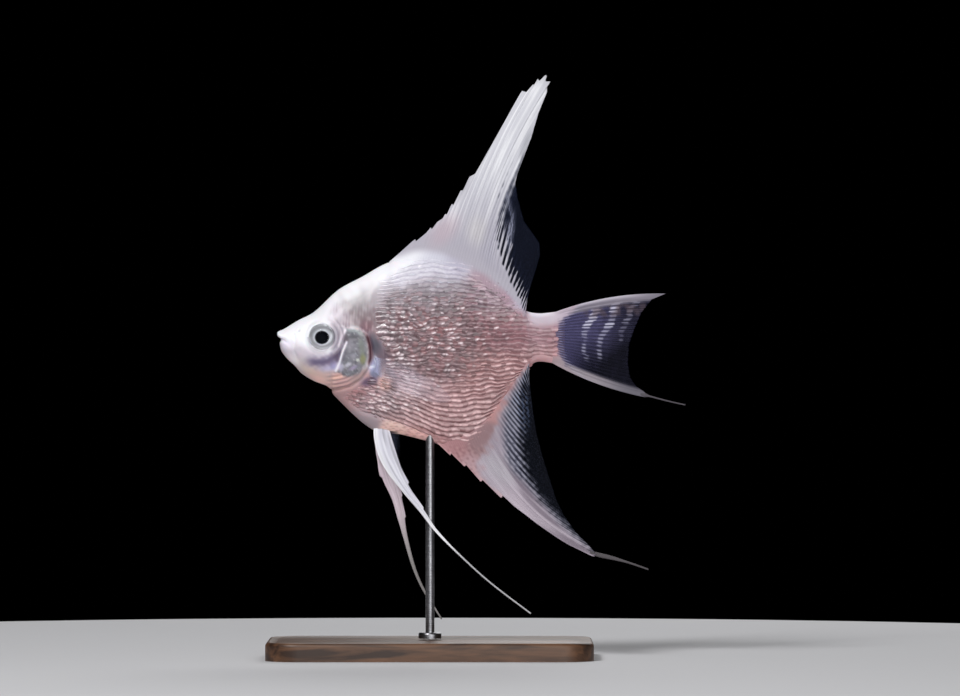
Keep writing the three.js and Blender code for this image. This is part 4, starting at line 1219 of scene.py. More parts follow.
def dorsal_fin():
    fin, ray, share, face = fan_grid("fin_dorsal", DORSAL_RAYS, 72)
    at = ray / DORSAL_RAYS * 24
    root_x = 30.4 + 36.8 * at / 24
    root = (root_x, back_line(root_x) - 2.2)
    tip_x, tip_z = DORSAL_TIPS(at)
    length = np.hypot(tip_x - root[0], tip_z - root[1])
    split = 0.22 * ease(0.45, 0.75, share)
    crest = crest_of(ray, split)
    fray = 0.35 * (crest - 0.5) * ease(14.5, 16, at)
    reach = share * (1 + fray / length * ease(0.6, 1, share))
    x, z = along_rays(root, (tip_x, tip_z), DORSAL_BOW(at), reach)
    sway = 1.1 * np.sin(2.6 * at / 24 + 0.4) * share**2
    clear = ease(13, 17, at)
    half = 0.11 + (0.2 - 0.1 * share) * crest * (0.45 + 0.55 * clear)
    half = np.maximum(half * (1 - 0.55 * ease(0.85, 1, share)), sheath(x, z) + 0.25 * half)
    body_of_fin(fin, x, z, sway, half, face)

    each = np.random.default_rng(5).uniform(0, 1, 90)
    own = np.interp(ray, np.arange(90), each)
    streak = np.interp(at * 3.1, np.arange(90), each) * (0.7 + 0.3 * waves(at * 2.0, share * 5.0, 1.6, 61))
    above = z - back_line(x)
    colour = np.zeros((len(x), 3)) + tone(172, 168, 179)
    colour = lay(colour, ease(26, 46, z), tone(222, 222, 227))
    # Painted shade: the web between the rays is darkened by a share that changes from ray to ray, as shade in
    # the pleats of the fin.
    pleat_shade = (0.2 + 0.35 * own) * (0.5 + 0.5 * clear)
    colour = lay(colour, (1 - crest) * ease(2, 6, above), tone(148, 145, 160), pleat_shade)
    # Painted sheen and shade: white streaks along the rays are painted glossy highlights, and grey streaks
    # higher up painted shade of the pleats.
    colour = lay(colour, streak * ease(4, 12, above), tone(244, 245, 248), 0.65)
    colour = lay(colour, ease(0.55, 0.2, streak) * ease(20, 36, z), tone(168, 168, 180), 0.35)
    colour = lay(colour, patch(x, z, (54.0, 27.5), (2.6, 3.4), 0.8), tone(196, 192, 190), 0.4)
    colour = lay(colour, patch(x, z, (45.0, 27.5), (4.6, 2.6), 0.8, 48), tone(186, 164, 174), 0.5)
    colour = lay(colour, ease(2.4, -0.4, above), body_colour(x, z))
    rear = path_distance(x, z, DORSAL_DARK) + 0.3 * waves(x, z, 2.0, 62)
    teeth = ease(32, 25, z) * ease(56.5, 58.5, x)
    tooth = COMB * (0.75 + 0.5 * own) * (1 + 0.35 * ease(18, 23, z))
    comb = ease(-0.1, 0.16, rear / tooth + 0.04 - np.abs(crest) ** 1.3 * 0.96)
    strand = np.interp(ray * 0.83 + 3, np.arange(90), each)
    veil = ease(-0.6, 2.2, rear + 4.4 * (strand - 0.5) - 0.6 * (crest - 0.5) + 0.15 * waves(x, z, 1.4, 65))
    comb = comb * teeth + veil * (1 - teeth)
    dark = lay(np.zeros((len(x), 3)) + NAVY, crest * ease(6, 1, rear), tone(40, 45, 70), 0.6)
    colour = lay(colour, comb * ease(50, 43, z), dark)
    ragged = 1.1 + 0.9 * (strand - 0.5) + 0.2 * waves(x, z, 2.2, 63)
    thread = 0.35 + 0.65 * ease(-0.7, 0.5, waves(2.4 * x, 0.45 * z, 1.0, 66))
    wisp = patch(x, z, (62.9, 26.8), (0.8, 4.6), 0.8, -8) * ragged * thread
    wisp = wisp + 0.7 * patch(x, z, (62.5, 35.0), (0.65, 2.8), 0.7, 12) * ragged * thread
    wisp = np.clip(wisp, 0, 1)
    colour = lay(colour, wisp * (0.6 + 0.4 * crest), tone(162, 164, 184), 0.9)
    colour = lay(colour, ease(65.0, 69.5, z), tone(172, 172, 180), 0.6)
    colour = lay(colour, patch(x, z, (67.2, 50.8), (1.0, 3.6), 0.9, -18), tone(140, 142, 150), 0.45)
    colour = lay(colour, patch(x, z, (57.8, 25.0), (2.0, 5.0), 0.9, -8), tone(150, 148, 164), 0.4)
    colour = lay(colour, patch(x, z, (50.6, 40.5), (1.6, 4.4), 0.9, -26), tone(164, 162, 172), 0.75)
    alpha = 1 - comb * ease(50, 43, z) * (0.4 - 0.2 * crest) * (1 - 0.6 * wisp)
    fin_looks(fin, "dorsal fin", colour, alpha, ["dorsal_fin"])


dorsal_fin()

# %% [markdown]
# ## The fin below
#
# The anal fin mirrors the one on the back: a stout pale front edge with a few steps in it, close rays with
# dark gaps in the middle, and a navy hem behind. Its longest rays sweep back to one trailing thread.

# %% Anal fin
ANAL_RAYS = 44
ANAL_TIPS = table((
    (0, 43.0, -29.6), (1.0, 46.7, -33.1), (1.15, 46.9, -32.5), (2.2, 50.6, -36.2), (2.35, 50.9, -35.6),
    (3.6, 55.0, -40.3), (3.75, 55.4, -39.7), (5.2, 60.5, -44.7), (5.35, 60.8, -43.9), (6.0, 64.0, -46.9),
    (7.0, 72.6, -53.3), (7.6, 78.4, -57.1), (8.3, 85.4, -60.5), (8.7, 86.2, -59.8), (9.3, 83.9, -57.2),
    (10, 80.6, -53.9), (11, 77.4, -49.4), (12, 75.2, -44.8), (13, 73.4, -39.2), (14.2, 71.6, -33.6),
    (16, 69.9, -27.0), (18, 68.9, -20.8), (20, 68.4, -16.2), (22, 68.0, -12.6),
))
ANAL_BOW = curve_of(((0, 0), (5, -0.06), (7, -0.16), (9, -0.19), (12, -0.12), (16, -0.05), (22, 0)))
ANAL_GAPS = [
    (65.8, -12.4), (63.2, -17.0), (61.2, -23.0), (61.2, -29.2), (61.9, -33.8), (63.6, -37.4), (67.0, -40.6),
    (70.8, -45.0), (76.0, -51.0), (80.2, -54.9), (88.0, -60.4),
]
ANAL_HEM = [
    (69.2, -8.0), (67.5, -11.5), (65.8, -15.5), (65.6, -20.0), (65.9, -25.0), (65.4, -30.3),
    (67.2, -38.4), (70.5, -44.4), (75.2, -49.4), (79.4, -53.7), (84.4, -58.2), (92.0, -65.0),
]
ANAL_WHITE = [
    (66.8, -10.0), (64.9, -13.0), (62.7, -16.6), (59.6, -25.0), (57.0, -31.0), (54.6, -35.5), (55.5, -41.0),
]


def anal_fin():
    fin, ray, share, face = fan_grid("fin_anal", ANAL_RAYS, 64)
    at = ray / ANAL_RAYS * 22
    root_x = 43.8 + 24.2 * at / 22
    root = (root_x, belly_line(root_x) + 2.2)
    tip_x, tip_z = ANAL_TIPS(at)
    length = np.hypot(tip_x - root[0], tip_z - root[1])
    crest = crest_of(ray, 0.2 * ease(0.55, 0.8, share))
    fray = 0.3 * (crest - 0.5) * ease(11.5, 13, at)
    reach = share * (1 + fray / length * ease(0.6, 1, share))
    x, z = along_rays(root, (tip_x, tip_z), ANAL_BOW(at), reach)
    sway = -0.9 * np.sin(2.4 * at / 22 + 0.5) * share**2
    plain_part = 0.4 + 0.6 * ease(6, 9, at)
    half = 0.11 + (0.2 - 0.1 * share) * crest * plain_part
    half = np.maximum(half * (1 - 0.55 * ease(0.85, 1, share)), sheath(x, z) + 0.25 * half)
    body_of_fin(fin, x, z, sway, half, face)

    own = np.interp(ray, np.arange(60), np.random.default_rng(6).uniform(0, 1, 60))
    streak = np.clip(own + 0.4 * waves(at * 2.0, share * 4.0, 1.5, 71), 0, 1)
    colour = np.zeros((len(x), 3)) + tone(166, 155, 166)
    colour = lay(colour, 1 - crest, tone(146, 136, 150), 0.4 * plain_part)
    colour = lay(colour, streak, tone(196, 187, 198), 0.45)
    colour = lay(colour, patch(x, z, (60.0, -37.0), (2.6, 5.0), 0.8, 40), tone(182, 180, 186), 0.5)
    colour = lay(colour, patch(x, z, (66.5, -46.2), (7.0, 2.2), 0.9, -38), tone(206, 194, 204), 0.5)
    into_gaps = path_distance(x, z, ANAL_GAPS)
    streaky = ease(56, 66, x) * ease(1.5, -1.0, into_gaps) * ease(-5.0, -1.5, into_gaps)
    colour = lay(colour, streaky * ease(0.9, 0.2, streak), tone(118, 108, 120), 0.75)
    fleshy = path_distance(x, z, ANAL_WHITE) + 0.9 * waves(x, z, 2.2, 8)
    colour = lay(colour, ease(1.6, -2.4, fleshy), body_colour(x, z))
    grain = waves(x, z, 0.8, 72) * ease(1.0, -2.4, fleshy) * ease(-29, -32, z)
    colour = lay(colour, ease(0.0, 1.0, grain), tone(192, 156, 154), 0.35)
    colour = lay(colour, ease(0.0, 1.0, -grain), tone(124, 90, 92), 0.35)
    margin = ease(6.4, 5.0, at) * ease(0.78, 0.97, share)
    colour = lay(colour, margin, tone(196, 160, 163), 0.6)
    gaps = ease(-1.4, 1.6, into_gaps)
    hem = ease(-1.2, 1.6, path_distance(x, z, ANAL_HEM) - 1.0 * (crest - 0.5) + 0.5 * waves(x, z, 1.6, 73))
    colour = lay(colour, gaps, tone(142, 143, 158), 0.9)
    web = gaps * (1 - ease(0.1, 0.65, crest))
    uneven = 0.5 + 0.5 * waves(x, z, 2.6, 76)
    colour = lay(colour, web, tone(36, 38, 54), np.clip(0.3 + 0.3 * own + 0.4 * uneven, 0, 0.85))
    colour = lay(colour, gaps * crest * ease(0.2, 0.9, uneven) * ease(-26, -18, z), tone(150, 164, 190), 0.4)
    mottle = patch(x, z, (66.8, -21.0), (1.6, 6.0), 0.6) * ease(-0.3, 0.7, waves(x, z, 1.0, 74))
    smudge = gaps * ease(0.1, 0.9, waves(x, z, 1.5, 75)) * ease(-22, -30, z)
    colour = lay(colour, smudge, tone(58, 60, 74), 0.5)
    colour = lay(colour, hem, NAVY * 0.62 + 0.03 * crest[:, None])
    colour = lay(colour, mottle, tone(74, 86, 112), 0.7)
    alpha = 1 - 0.35 * np.maximum(hem, web) * (1 - 0.4 * crest)
    fin_looks(fin, "anal fin", colour, alpha, ["anal_fin"])


anal_fin()

# %% [markdown]
# ## The tail fin
#
# Navy skin over fine pale rays, with a stout pale ray along the top and bottom edges. Pale dashes cross the
# rays in three bars that fade downwards, a mark that many angelfish carry in the tail.

# %% Tail fin
TAIL_RAYS = 24
TAIL_TIPS = table((
    (0, 104.9, 10.6), (1, 101.0, 9.0), (3, 98.2, 5.4), (5.5, 96.4, 1.2), (8, 94.9, -3.2), (10.5, 94.6, -8.2),
    (13, 95.2, -12.0), (14.3, 96.8, -14.4), (15, 99.4, -16.2), (16, 99.3, -17.4),
))
TAIL_BOW = curve_of(((0, 0.1), (5, 0.02), (11, -0.02), (16, -0.08)))
TAIL_BARS = (  # path of the bar, half-width, strength
    (((86.4, 7.2), (85.4, 5.0), (83.4, 1.0), (83.0, -2.0), (83.0, -4.8), (84.0, -9.0)), 0.8, 1.0),
    (((92.0, 8.2), (91.0, 6.4), (89.8, 3.0), (88.2, -0.3), (86.7, -3.4), (87.1, -7.3)), 0.9, 1.0),
    (((97.0, 8.9), (95.8, 7.2), (95.2, 4.4), (93.8, 2.0), (92.8, 0.2), (92.6, -2.0)), 0.7, 0.5),
)


def tail_fin():
    fin, ray, share, face = fan_grid("fin_tail", TAIL_RAYS, 80)
    at = ray / TAIL_RAYS * 16
    root = (73.9 + 0 * at, 5.2 - 13.2 * at / 16)
    tip_x, tip_z = TAIL_TIPS(at)
    length = np.hypot(tip_x - root[0], tip_z - root[1])
    crest = crest_of(ray, 0.2 * ease(0.5, 0.8, share))
    fray = 0.3 * (crest - 0.5) * ease(0.8, 1.6, at) * ease(15.2, 14.4, at)
    reach = share * (1 + fray / length * ease(0.6, 1, share))
    x, z = along_rays(root, (tip_x, tip_z), TAIL_BOW(at), reach)
    sway = 1.4 * share**2
    edge_ray = np.maximum(ease(1.5, 0.3, at), ease(14.8, 15.6, at))
    half = 0.1 + (0.17 - 0.08 * share) * np.maximum(crest, edge_ray) + 0.2 * edge_ray * (1 - share)
    lens = (1 - np.abs(1 - at / 8).clip(0, 1) ** 2.1) ** 0.75
    half = np.maximum(half * ease(73.9, 76.5, x), 0.75 * lens * ease(81, 74, x) + 0.02)
    body_of_fin(fin, x, z, sway, half * (1 - 0.5 * ease(0.9, 1, share)), face)

    low = ease(1, -11, z)
    blotch = waves(x, z, 2.4, 81)
    web = np.zeros((len(x), 3)) + tone(70, 67, 100)
    web = lay(web, ease(84, 97, x) * 0.75 + 0.9 * low * ease(76, 86, x), tone(13, 13, 23))
    web = lay(web, ease(0.2, 1.0, blotch) * ease(79, 84, x), tone(30, 28, 46), 0.3)
    pale = lay(np.zeros((len(x), 3)) + tone(98, 94, 128), low * 0.9 + 0.7 * ease(86, 94, x), tone(26, 26, 40))
    broken_ray = 0.5 + 0.35 * waves(x, 3.0 * z, 1.5, 82)
    colour = lay(web, ease(0.35, 0.85, crest) * broken_ray, pale, 0.85)
    luck = np.random.default_rng(9).uniform(0.35, 1, (3, 30))
    own = np.random.default_rng(10).uniform(-0.45, 0.45, (3, 30))
    number = np.floor(ray).astype(int)
    for n, (bar, wide, strength) in enumerate(TAIL_BARS):
        off = path_distance(x, z, list(bar)) + own[n][number]
        reach_of = wide * (0.7 + 0.5 * luck[n][number]) * (1 - 0.45 * ease(1, -3, z))
        on_ray = ease(0.45, 0.7, bell((ray + 0.5) % 1 - 0.5, 0.42))
        block = ease(reach_of + 0.2, reach_of - 0.2, np.abs(off)) * on_ray
        fade = (1 - 0.5 * ease(3 - 1.5 * n, -3.0, z) - 0.5 * ease(-6.5, -8.5, z)) * luck[n][number]
        colour = lay(colour, block * fade, tone(198, 196, 216), 1.3 * strength)
    brown = ease(1.2, 1.8, at) * ease(3.8, 2.9, at) * ease(81, 85, x)
    colour = lay(colour, brown * ease(-0.6, 0.5, blotch), tone(92, 78, 84), 0.6)
    top = ease(1.9, 1.2, at + 0.035 * (x - 90)) * ease(76, 80, x)
    colour = lay(colour, top, tone(140, 134, 146), 0.95)
    colour = lay(colour, ease(0.75, 0.2, at) * ease(103, 92, x), tone(196, 190, 202), 0.8)
    foot = ease(13.9, 14.7, at - 0.03 * (x - 90)) * ease(76, 80, x)
    foot_tone = lay(np.zeros_like(colour) + tone(150, 142, 150), ease(84, 96, x), tone(108, 105, 114))
    colour = lay(colour, foot, foot_tone)
    edge = x - stalk_end(z) - 0.3 - 1.8 * ease(3.0, 5.8, z) + 0.5 * ease(-3, -6, z)
    edge = edge - 0.5 * (crest - 0.4) - 0.4 * waves(x, z, 1.8, 83)
    flesh = ease(1.0, -1.0, edge)
    flesh_colour = lay(body_colour(x, z), ease(74.5, 78.0, x), tone(180, 166, 180), 0.8)
    flesh_colour = lay(flesh_colour, ease(-5.0, -8.0, z), tone(150, 138, 144), 0.8)
    colour = lay(colour, flesh, flesh_colour)
    colour = lay(colour, bell(edge - 0.6, 0.6) * ease(0.3, 0.9, crest), tone(186, 182, 206), 0.5)
    alpha = 1 - 0.3 * (1 - flesh) * (1 - crest) * (1 - edge_ray)
    fin_looks(fin, "tail fin", colour, alpha, ["tail_fin"])


tail_fin()

# %% [markdown]
# ## Pelvic fins and threads
#
# The two pelvic fins of an angelfish are narrow ribbons that end in long feelers, and its anal and tail
# fins trail threads too. All are tubes: a circle is extruded along, and its rings are laid on a path. The
# ribbons are flattened, ribbed along their rays, and narrow in small steps where short rays end.

# %% The ribbon builder
def path_curve(path):
    """A smooth path through places, by share of its length."""
    path = np.array(path, float)
    steps_between = np.hypot.reduce([np.diff(path[:, n]) for n in range(3)], axis=0)
    share = np.concatenate([[0], np.cumsum(steps_between)]) / steps_between.sum()
    curves = [profile(*zip(share, path[:, n])) for n in range(3)]
    return lambda t: np.array([curve(t) for curve in curves])


def ribbon(name, path, wide, thick, rings, points, ribs=0):
    """A flattened tube along a path. wide and thick give its half-sizes at a share of the length."""
    start_fresh()
    bpy.ops.mesh.primitive_circle_add(vertices=points, radius=1, rotation=(0, math.pi / 2, 0))
    piece = named(name)
    bpy.ops.object.transform_apply(rotation=True)
    bpy.ops.object.mode_set(mode="EDIT")
    bpy.ops.mesh.select_all(action="SELECT")
    bpy.ops.mesh.edge_face_add()
    for ring in range(rings):
        bpy.ops.mesh.extrude_region_move(TRANSFORM_OT_translate={"value": (1, 0, 0)})
    bpy.ops.object.mode_set(mode="OBJECT")
    tube = points_of(piece)
    share = tube[:, 0] / rings
    turn = np.arctan2(tube[:, 2], tube[:, 1])
    line = path_curve(path)
    centre = line(share)
    ahead, before = line(np.clip(share + 0.004, 0, 1)), line(np.clip(share - 0.004, 0, 1))
    run_x, run_z = ahead[0] - before[0], ahead[2] - before[2]
    size = np.hypot(run_x, run_z)
    across = np.cos(turn) * wide(share, np.cos(turn))
    spread = across * math.pi * ribs / np.maximum(0.4, wide(share, 0 * turn))
    rib = 1 + 0.16 * np.cos(spread + 0.6 * np.sin(2.3 * spread)) * ease(0.62, 0.4, share) if ribs else 1
    depth = np.sin(turn) * thick(share) * rib
    x = centre[0] - across * run_z / size
    z = centre[2] + across * run_x / size
    set_points(piece, in_frame(x, centre[1] + depth, z))
    outward(piece)
    smooth(piece)
    return piece, share, across, x, z


# %% Pelvic fins
PELVIC = {
    "left": {
        "path": (
            (28.2, -0.3, -23.6), (28.2, -0.8, -27.0), (29.6, -2.2, -32.4), (31.9, -3.6, -37.5),
            (34.5, -4.6, -41.8), (37.1, -5.3, -45.4), (39.4, -5.7, -48.5), (42.8, -6.2, -53.2),
            (49.0, -6.6, -59.6), (57.4, -6.9, -67.2), (68.4, -7.0, -75.6),
        ),
        "wide": (
            (0, 1.7), (0.05, 2.25), (0.13, 2.45), (0.2, 2.05), (0.28, 1.3), (0.34, 0.98), (0.4, 0.68),
            (0.49, 0.43), (0.62, 0.26), (1, 0.22),
        ),
        "steps": ((0.285, 0.45, 1), (0.4, 0.3, 1)),
        "tones": (tone(200, 199, 210), tone(244, 244, 248)),
        "turns": (0.3, 0.5),
    },
    "right": {
        "path": (
            (28.0, 0.3, -23.6), (28.1, 0.9, -27.0), (28.9, 3.4, -33.0), (30.3, 4.8, -39.2),
            (32.2, 5.8, -44.9), (33.4, 6.5, -50.4), (34.5, 7.1, -55.4), (36.8, 7.6, -63.6),
            (39.4, 8.0, -69.6), (44.3, 8.2, -77.6),
        ),
        "wide": (
            (0, 1.4), (0.06, 1.8), (0.16, 2.2), (0.26, 2.1), (0.38, 1.4), (0.48, 1.0),
            (0.52, 0.8), (0.58, 0.6), (0.74, 0.44), (0.9, 0.3), (1, 0.2),
        ),
        "steps": ((0.27, 0.45, -1), (0.385, 0.3, 1), (0.485, 0.3, 1)),
        "tones": (tone(222, 204, 214), tone(148, 145, 144)),
        "turns": (0.36, 0.72),
    },
}

for name, fin in PELVIC.items():
    width_at = profile(*fin["wide"])

    def wide(share, across, width_at=width_at, fin=fin):
        """Half-width, with a small step in one margin wherever a short ray ends."""
        total = width_at(share)
        for place, drop, margin in fin["steps"]:
            bump = drop * ease(place - 0.08, place - 0.004, share) * ease(place + 0.004, place, share)
            total = total + bump * ease(0, 1, across * margin)
        return total

    thick = profile((0, 0.4), (0.06, 0.6), (0.2, 0.5), (0.45, 0.34), (0.6, 0.3), (1, 0.24))
    piece, share, across, x, z = ribbon(f"fin_pelvic_{name}", fin["path"], wide, thick, 180, 48, ribs=3.2)
    near, far = fin["tones"]
    colour = lay(np.zeros((len(x), 3)) + near, ease(*fin["turns"], share), far)
    spread = across / np.maximum(0.4, width_at(share))
    streak = waves(8.0 * spread, 6.0 * share, 2.2, 91)
    colour = lay(colour, ease(0.0, 1.2, -streak) * ease(0.6, 0.35, share), near * 0.8, 0.8)
    colour = lay(colour, ease(0.3, 1.2, streak) * ease(0.6, 0.35, share), tone(240, 240, 246), 0.5)
    if name == "left":  # this fin also has a bright front edge, a pale middle and a duller thread
        # Painted light: the bright front edge is painted near white, to lift the shade where the rounded edge
        # turns away from the lamps.
        colour = lay(colour, ease(-0.2, -0.9, spread) * ease(0.44, 0.28, share), tone(252, 252, 255), 0.7)
        colour = lay(colour, ease(0.1, 0.9, spread) * bell(share - 0.3, 0.09), tone(240, 240, 250), 0.35)
        colour = lay(colour, ease(0.54, 0.68, share), tone(188, 188, 192))
    nodes = [f"pelvic_fin_{name}", f"pelvic_streamer_{name}"]
    fin_looks(piece, f"pelvic fin {name}", colour, 1 + 0 * x, nodes)

# %% The web behind the near pelvic fin
WEB_PATH = ((31.2, -0.7, -25.4), (31.6, -1.0, -28.0), (32.4, -2.0, -31.0), (33.2, -2.6, -34.4))
web_width = profile((0, 2.3), (0.3, 2.0), (0.7, 1.0), (1, 0.2))
web_thickness = profile((0, 0.12), (1, 0.08))
piece, share, across, x, z = ribbon(
    "web_pelvic", WEB_PATH, lambda at, _: web_width(at), web_thickness, 40, 24
)
ribs = 0.5 + 0.5 * np.sin(5.0 * across + 6.0 * share)
colour = lay(np.zeros((len(x), 3)) + tone(24, 27, 40), ribs, tone(60, 62, 78), 0.5)
alpha = 0.6 * ease(1.0, 0.2, share) * ease(1.0, -0.6, across / np.maximum(0.3, 2.3 - 2.1 * share))
fin_looks(piece, "pelvic web", colour, alpha, ["pelvic_fin_left"])

# %% Trailing threads
THREADS = {
    "anal": (
        (
            (84.4, -0.8, -59.2), (86.6, -0.75, -59.9), (90.5, -0.6, -60.8), (95.0, -0.3, -62.1),
            (100.2, 0.2, -63.9),
        ),
        ((0, 0.5), (0.2, 0.6), (0.45, 0.45), (0.6, 0.3), (1, 0.22)),
        tone(90, 86, 89),
    ),
    "tail": (
        (
            (98.0, 1.3, -16.6), (100.0, 1.4, -17.0), (103.4, 1.6, -17.9), (106.6, 1.9, -18.7),
            (110.2, 2.3, -19.5),
        ),
        ((0, 0.5), (0.12, 0.5), (0.2, 0.24), (0.45, 0.2), (1, 0.16)),
        tone(86, 82, 88),
    ),
}
thread_thickness = profile((0, 0.2), (1, 0.18))
for name, (path, widths, shade) in THREADS.items():
    width_at = profile(*widths)
    piece, share, across, x, z = ribbon(
        f"thread_{name}", path, lambda at, _, width_at=width_at: width_at(at), thread_thickness, 60, 16
    )
    fin_looks(piece, f"thread {name}", np.zeros((len(x), 3)) + shade, 1 + 0 * x, [f"{name}_streamer"])

# %% Pectoral fins
PECTORAL_TIPS = profile((0, 34.5), (0.25, 43.0), (0.5, 46.8), (0.75, 42.0), (1, 32.6))
PECTORAL_LOW = profile((0, -8.6), (0.25, -13.6), (0.5, -17.8), (0.75, -18.6), (1, -15.4))
for name, side in SIDES.items():
    fin, ray, share, face = fan_grid(f"fin_pectoral_{name}", 13, 30)
    at = ray / 13
    root = (26.3 + 0.4 * np.sin(math.pi * at), -6.6 - 3.8 * at)
    crest = crest_of(ray, 0.2 * ease(0.4, 0.7, share))
    reach = share * (1 + 0.02 * (crest - 0.5) * ease(0.6, 1, share))
    x, z = along_rays(root, (PECTORAL_TIPS(at), PECTORAL_LOW(at)), 0.04 - 0.08 * at, reach)
    out = flank(26.3, -6.6) + 1.0 + 0.27 * (x - 26.3) - 0.25 * np.sin(math.pi * at) * share
    half = 0.06 + (0.12 - 0.07 * share) * crest + 0.32 * np.exp(-(((x - 26.3) / 1.6) ** 2))
    set_points(fin, in_frame(x, side * out + face * half, z))
    outward(fin)
    smooth(fin)
    colour = lay(np.zeros((len(x), 3)) + tone(176, 168, 186), crest, tone(214, 208, 224), 0.8)
    colour = lay(colour, ease(3.0, 0.5, x - 26.3), tone(170, 174, 206), 0.8)
    alpha = 0.04 + 0.12 * crest * (1 - 0.6 * share) + 0.5 * ease(2.4, 0.2, x - 26.3)
    fin_looks(fin, f"pectoral fin {name}", colour, alpha, [f"pectoral_fin_{name}"], 0.35)

# %% [markdown]
# ## The stand
#
# The fish is lifted on a steel rod from a walnut base, the plainest museum stand there is. The base is a
# block with its upright corners rounded and a stepped moulding round its top, all bevels and insets. The rod
# is a turned bar in a collar, each with its top edge softened. Their sizes come from the frame.

# %% Base, collar and rod
def box_size(node):
    """The middle and the size of a frame node, as vectors."""
    low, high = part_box(node)
    return (low + high) / 2, high - low


def pick(chosen):
    """Selects the edges or faces that a test picks. The test is given each one's points."""
    bpy.ops.object.mode_set(mode="OBJECT")
    mesh = bpy.context.object.data
    for element in mesh.vertices:
        element.select = False
    for element in mesh.edges:
        element.select = False
    for element in mesh.polygons:
        element.select = chosen([mesh.vertices[n].co for n in element.vertices])
    bpy.ops.object.mode_set(mode="EDIT")


base_middle, base_size = box_size("stand_base")
start_fresh()
bpy.ops.mesh.primitive_cube_add(size=1)
base = named("wooden_base")
bpy.ops.transform.resize(value=base_size)
bpy.ops.transform.translate(value=base_middle)
bpy.ops.object.transform_apply(location=True, scale=True)
bpy.ops.object.mode_set(mode="EDIT")
bpy.ops.mesh.select_mode(type="EDGE")
bpy.ops.mesh.select_all(action="DESELECT")
bpy.ops.object.mode_set(mode="OBJECT")
for edge in base.data.edges:
    first, second = (base.data.vertices[n].co for n in edge.vertices)
    edge.select = abs(first.z - second.z) > 0.001
bpy.ops.object.mode_set(mode="EDIT")
bpy.ops.mesh.bevel(offset=9 * MM, segments=12)
bpy.ops.mesh.select_mode(type="FACE")
top_z = base_middle.z + base_size.z / 2
pick(lambda points: min(point.z for point in points) > top_z - 0.01 * MM)
bpy.ops.mesh.bevel(offset=1.1 * MM, segments=5, affect="EDGES")
pick(lambda points: min(point.z for point in points) > top_z - 0.01 * MM)
bpy.ops.mesh.inset(thickness=1.6 * MM)
bpy.ops.transform.translate(value=(0, 0, -0.35 * MM))
bpy.ops.mesh.inset(thickness=0.5 * MM)
bpy.ops.transform.translate(value=(0, 0, 0.25 * MM))
bpy.ops.object.mode_set(mode="OBJECT")
outward(base)
smooth(base, 40)
print(f"base: {len(base.data.polygons)} faces")

collar_middle, collar_size = box_size("stand_collar")
rod_middle, rod_size = box_size("stand_rod")


def turned_bar(name, middle, radius, height, bead):
    """A round bar along Z whose top edge is softened by a bevel as wide as bead."""
    start_fresh()
    bpy.ops.mesh.primitive_cylinder_add(vertices=48, radius=radius, depth=height, location=middle)
    bar = named(name)
    bpy.ops.object.transform_apply(location=True)
    bpy.ops.object.mode_set(mode="EDIT")
    bpy.ops.mesh.select_mode(type="FACE")
    pick(lambda points: min(point.z for point in points) > middle.z + height / 2 - 0.01 * MM)
    bpy.ops.mesh.bevel(offset=bead, segments=4, affect="EDGES")
    bpy.ops.object.mode_set(mode="OBJECT")
    outward(bar)
    smooth(bar, 40)
    return bar


collar = turned_bar("rod_collar", collar_middle, collar_size.x / 2, collar_size.z, 0.5 * MM)
rod = turned_bar("rod", rod_middle, rod_size.x / 2, rod_size.z, 0.3 * MM)

# %% [markdown]
# ## Walnut and brushed steel
#
# Wood grain is a noise stretched along the plank: pores show as fine dark dashes and the growth rings as
# broad soft bands. Brushed steel is a metal whose colour and fine bump run in fine rings round the bar, as
# the polishing cloth left it.

# %% Stand materials
def grain_material(name, scale, stops, roughness, metallic=0.0):
    """A stretched noise through a colour ramp, which also makes a fine bump."""
    made = bpy.data.materials.new(name)
    made.use_nodes = True
    nodes, links = made.node_tree.nodes, made.node_tree.links
    shader = nodes["Principled BSDF"]
    shader.inputs["Roughness"].default_value = roughness
    shader.inputs["Metallic"].default_value = metallic
    place = nodes.new("ShaderNodeTexCoord")
    stretch = nodes.new("ShaderNodeMapping")
    stretch.inputs["Scale"].default_value = scale
    noise = nodes.new("ShaderNodeTexNoise")
    noise.inputs["Scale"].default_value = 1.0
    noise.inputs["Detail"].default_value = 6
    noise.inputs["Distortion"].default_value = 0.6
    ramp = nodes.new("ShaderNodeValToRGB")
    links.new(place.outputs["Object"], stretch.inputs["Vector"])
    links.new(stretch.outputs["Vector"], noise.inputs["Vector"])
    links.new(noise.outputs["Fac"], ramp.inputs["Fac"])
    for entry, (position, shade) in zip(ramp.color_ramp.elements, stops):
        entry.position = position
        entry.color = (*linear(shade), 1)
    links.new(ramp.outputs["Color"], shader.inputs["Base Color"])
    bump = nodes.new("ShaderNodeBump")
    bump.inputs["Strength"].default_value = 0.25
    bump.inputs["Distance"].default_value = 0.0002
    links.new(noise.outputs["Fac"], bump.inputs["Height"])
    links.new(bump.outputs["Normal"], shader.inputs["Normal"])
    return made


walnut = grain_material("walnut", (45, 420, 420), ((0.38, tone(52, 34, 24)), (0.62, tone(104, 72, 50))), 0.45)
STEEL_TONES = ((0.3, tone(120, 120, 124)), (0.7, tone(166, 166, 170)))
steel = grain_material("brushed steel", (300, 300, 9000), STEEL_TONES, 0.3, 1.0)
for piece, made, node, slot in (
    (base, walnut, "stand_base", "stand_wood"),
    (collar, steel, "stand_collar", "stand_metal"),
    (rod, steel, "stand_rod", "stand_metal"),
):
    piece.data.materials.append(made)
    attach(piece, "root")
    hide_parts(node)

# %% [markdown]
# ## Floor, light and camera
#
# The model stands on a wide pale disc in a dark studio. A large soft lamp stands high on the left in
# front, where it whitens the forehead and back, and a wide weak one fills the shadows from the right. The
# camera looks level at the fish's left side from far off with a long lens, so nothing is distorted.

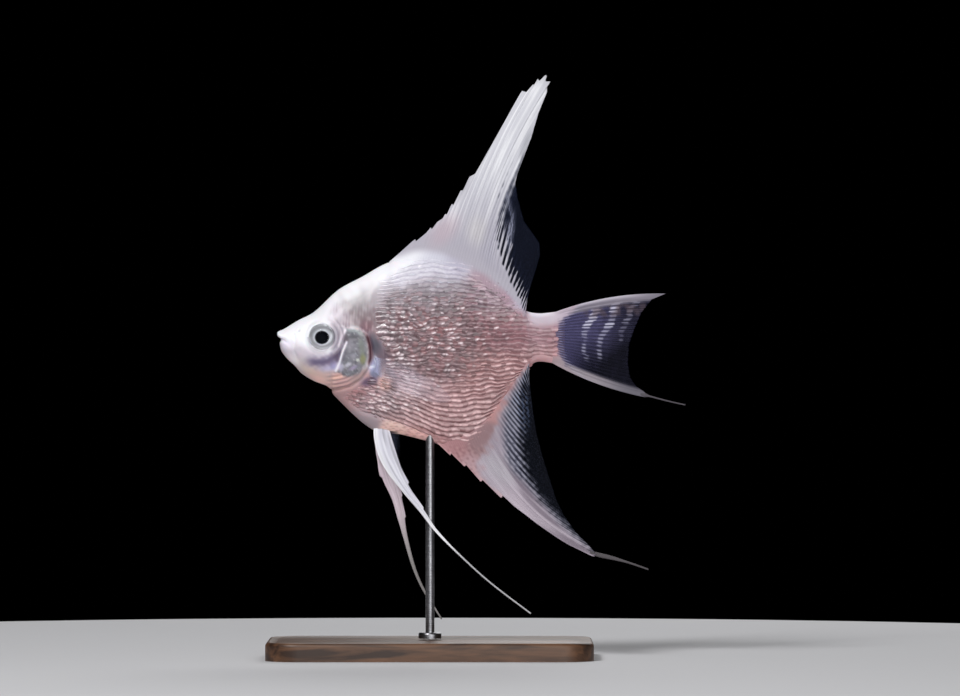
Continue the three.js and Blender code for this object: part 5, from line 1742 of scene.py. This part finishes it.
# %% Floor
start_fresh()
bpy.ops.mesh.primitive_cylinder_add(vertices=128, radius=0.3, depth=0.02, location=(0, 0, -0.01))
floor = named("floor")
bpy.ops.object.transform_apply(location=True)
bpy.ops.object.mode_set(mode="EDIT")
bpy.ops.mesh.select_all(action="SELECT")
bpy.ops.mesh.bevel(offset=0.002, segments=3)
bpy.ops.object.mode_set(mode="OBJECT")
paper = bpy.data.materials.new("pale floor")
paper.use_nodes = True
paper.node_tree.nodes["Principled BSDF"].inputs["Base Color"].default_value = (0.62, 0.62, 0.64, 1)
paper.node_tree.nodes["Principled BSDF"].inputs["Roughness"].default_value = 0.9
floor.data.materials.append(paper)

# %% Lamps
from mathutils import Vector

VIEW_CENTRE = Vector((0.0135, 0.0, 0.0837))


def lamp(name, place, watts, size):
    """A square soft lamp that looks at the middle of the fish."""
    start_fresh()
    bpy.ops.object.light_add(type="AREA", location=place)
    light = bpy.context.object
    light.name = name
    light.data.energy = watts
    light.data.size = size
    light.rotation_euler = (VIEW_CENTRE - light.location).to_track_quat("-Z", "Y").to_euler()
    return light


lamp("key lamp", (-0.45, -0.75, 0.85), 10, 0.3)
lamp("fill lamp", (0.3, -1.2, 0.12), 8.5, 0.9)
lamp("back lamp", (0.2, 0.8, 0.6), 4, 0.6)

world = bpy.data.worlds.new("dark studio")
bpy.context.scene.world = world
world.use_nodes = True
world.node_tree.nodes["Background"].inputs["Color"].default_value = (0.02, 0.02, 0.022, 1)
world.node_tree.nodes["Background"].inputs["Strength"].default_value = 0.0
bpy.context.scene.view_settings.view_transform = "Standard"

# %% Camera
DISTANCE = 2.0
FRAME_WIDE = 0.2592
start_fresh()
bpy.ops.object.camera_add(location=VIEW_CENTRE - Vector((0, DISTANCE, 0)), rotation=(math.pi / 2, 0, 0))
camera = bpy.context.object
camera.data.sensor_width = 36
camera.data.lens = 36 * DISTANCE / FRAME_WIDE
camera.data.clip_end = 20
bpy.context.scene.camera = camera
print(f"lens {camera.data.lens:.0f} mm at {DISTANCE} m")
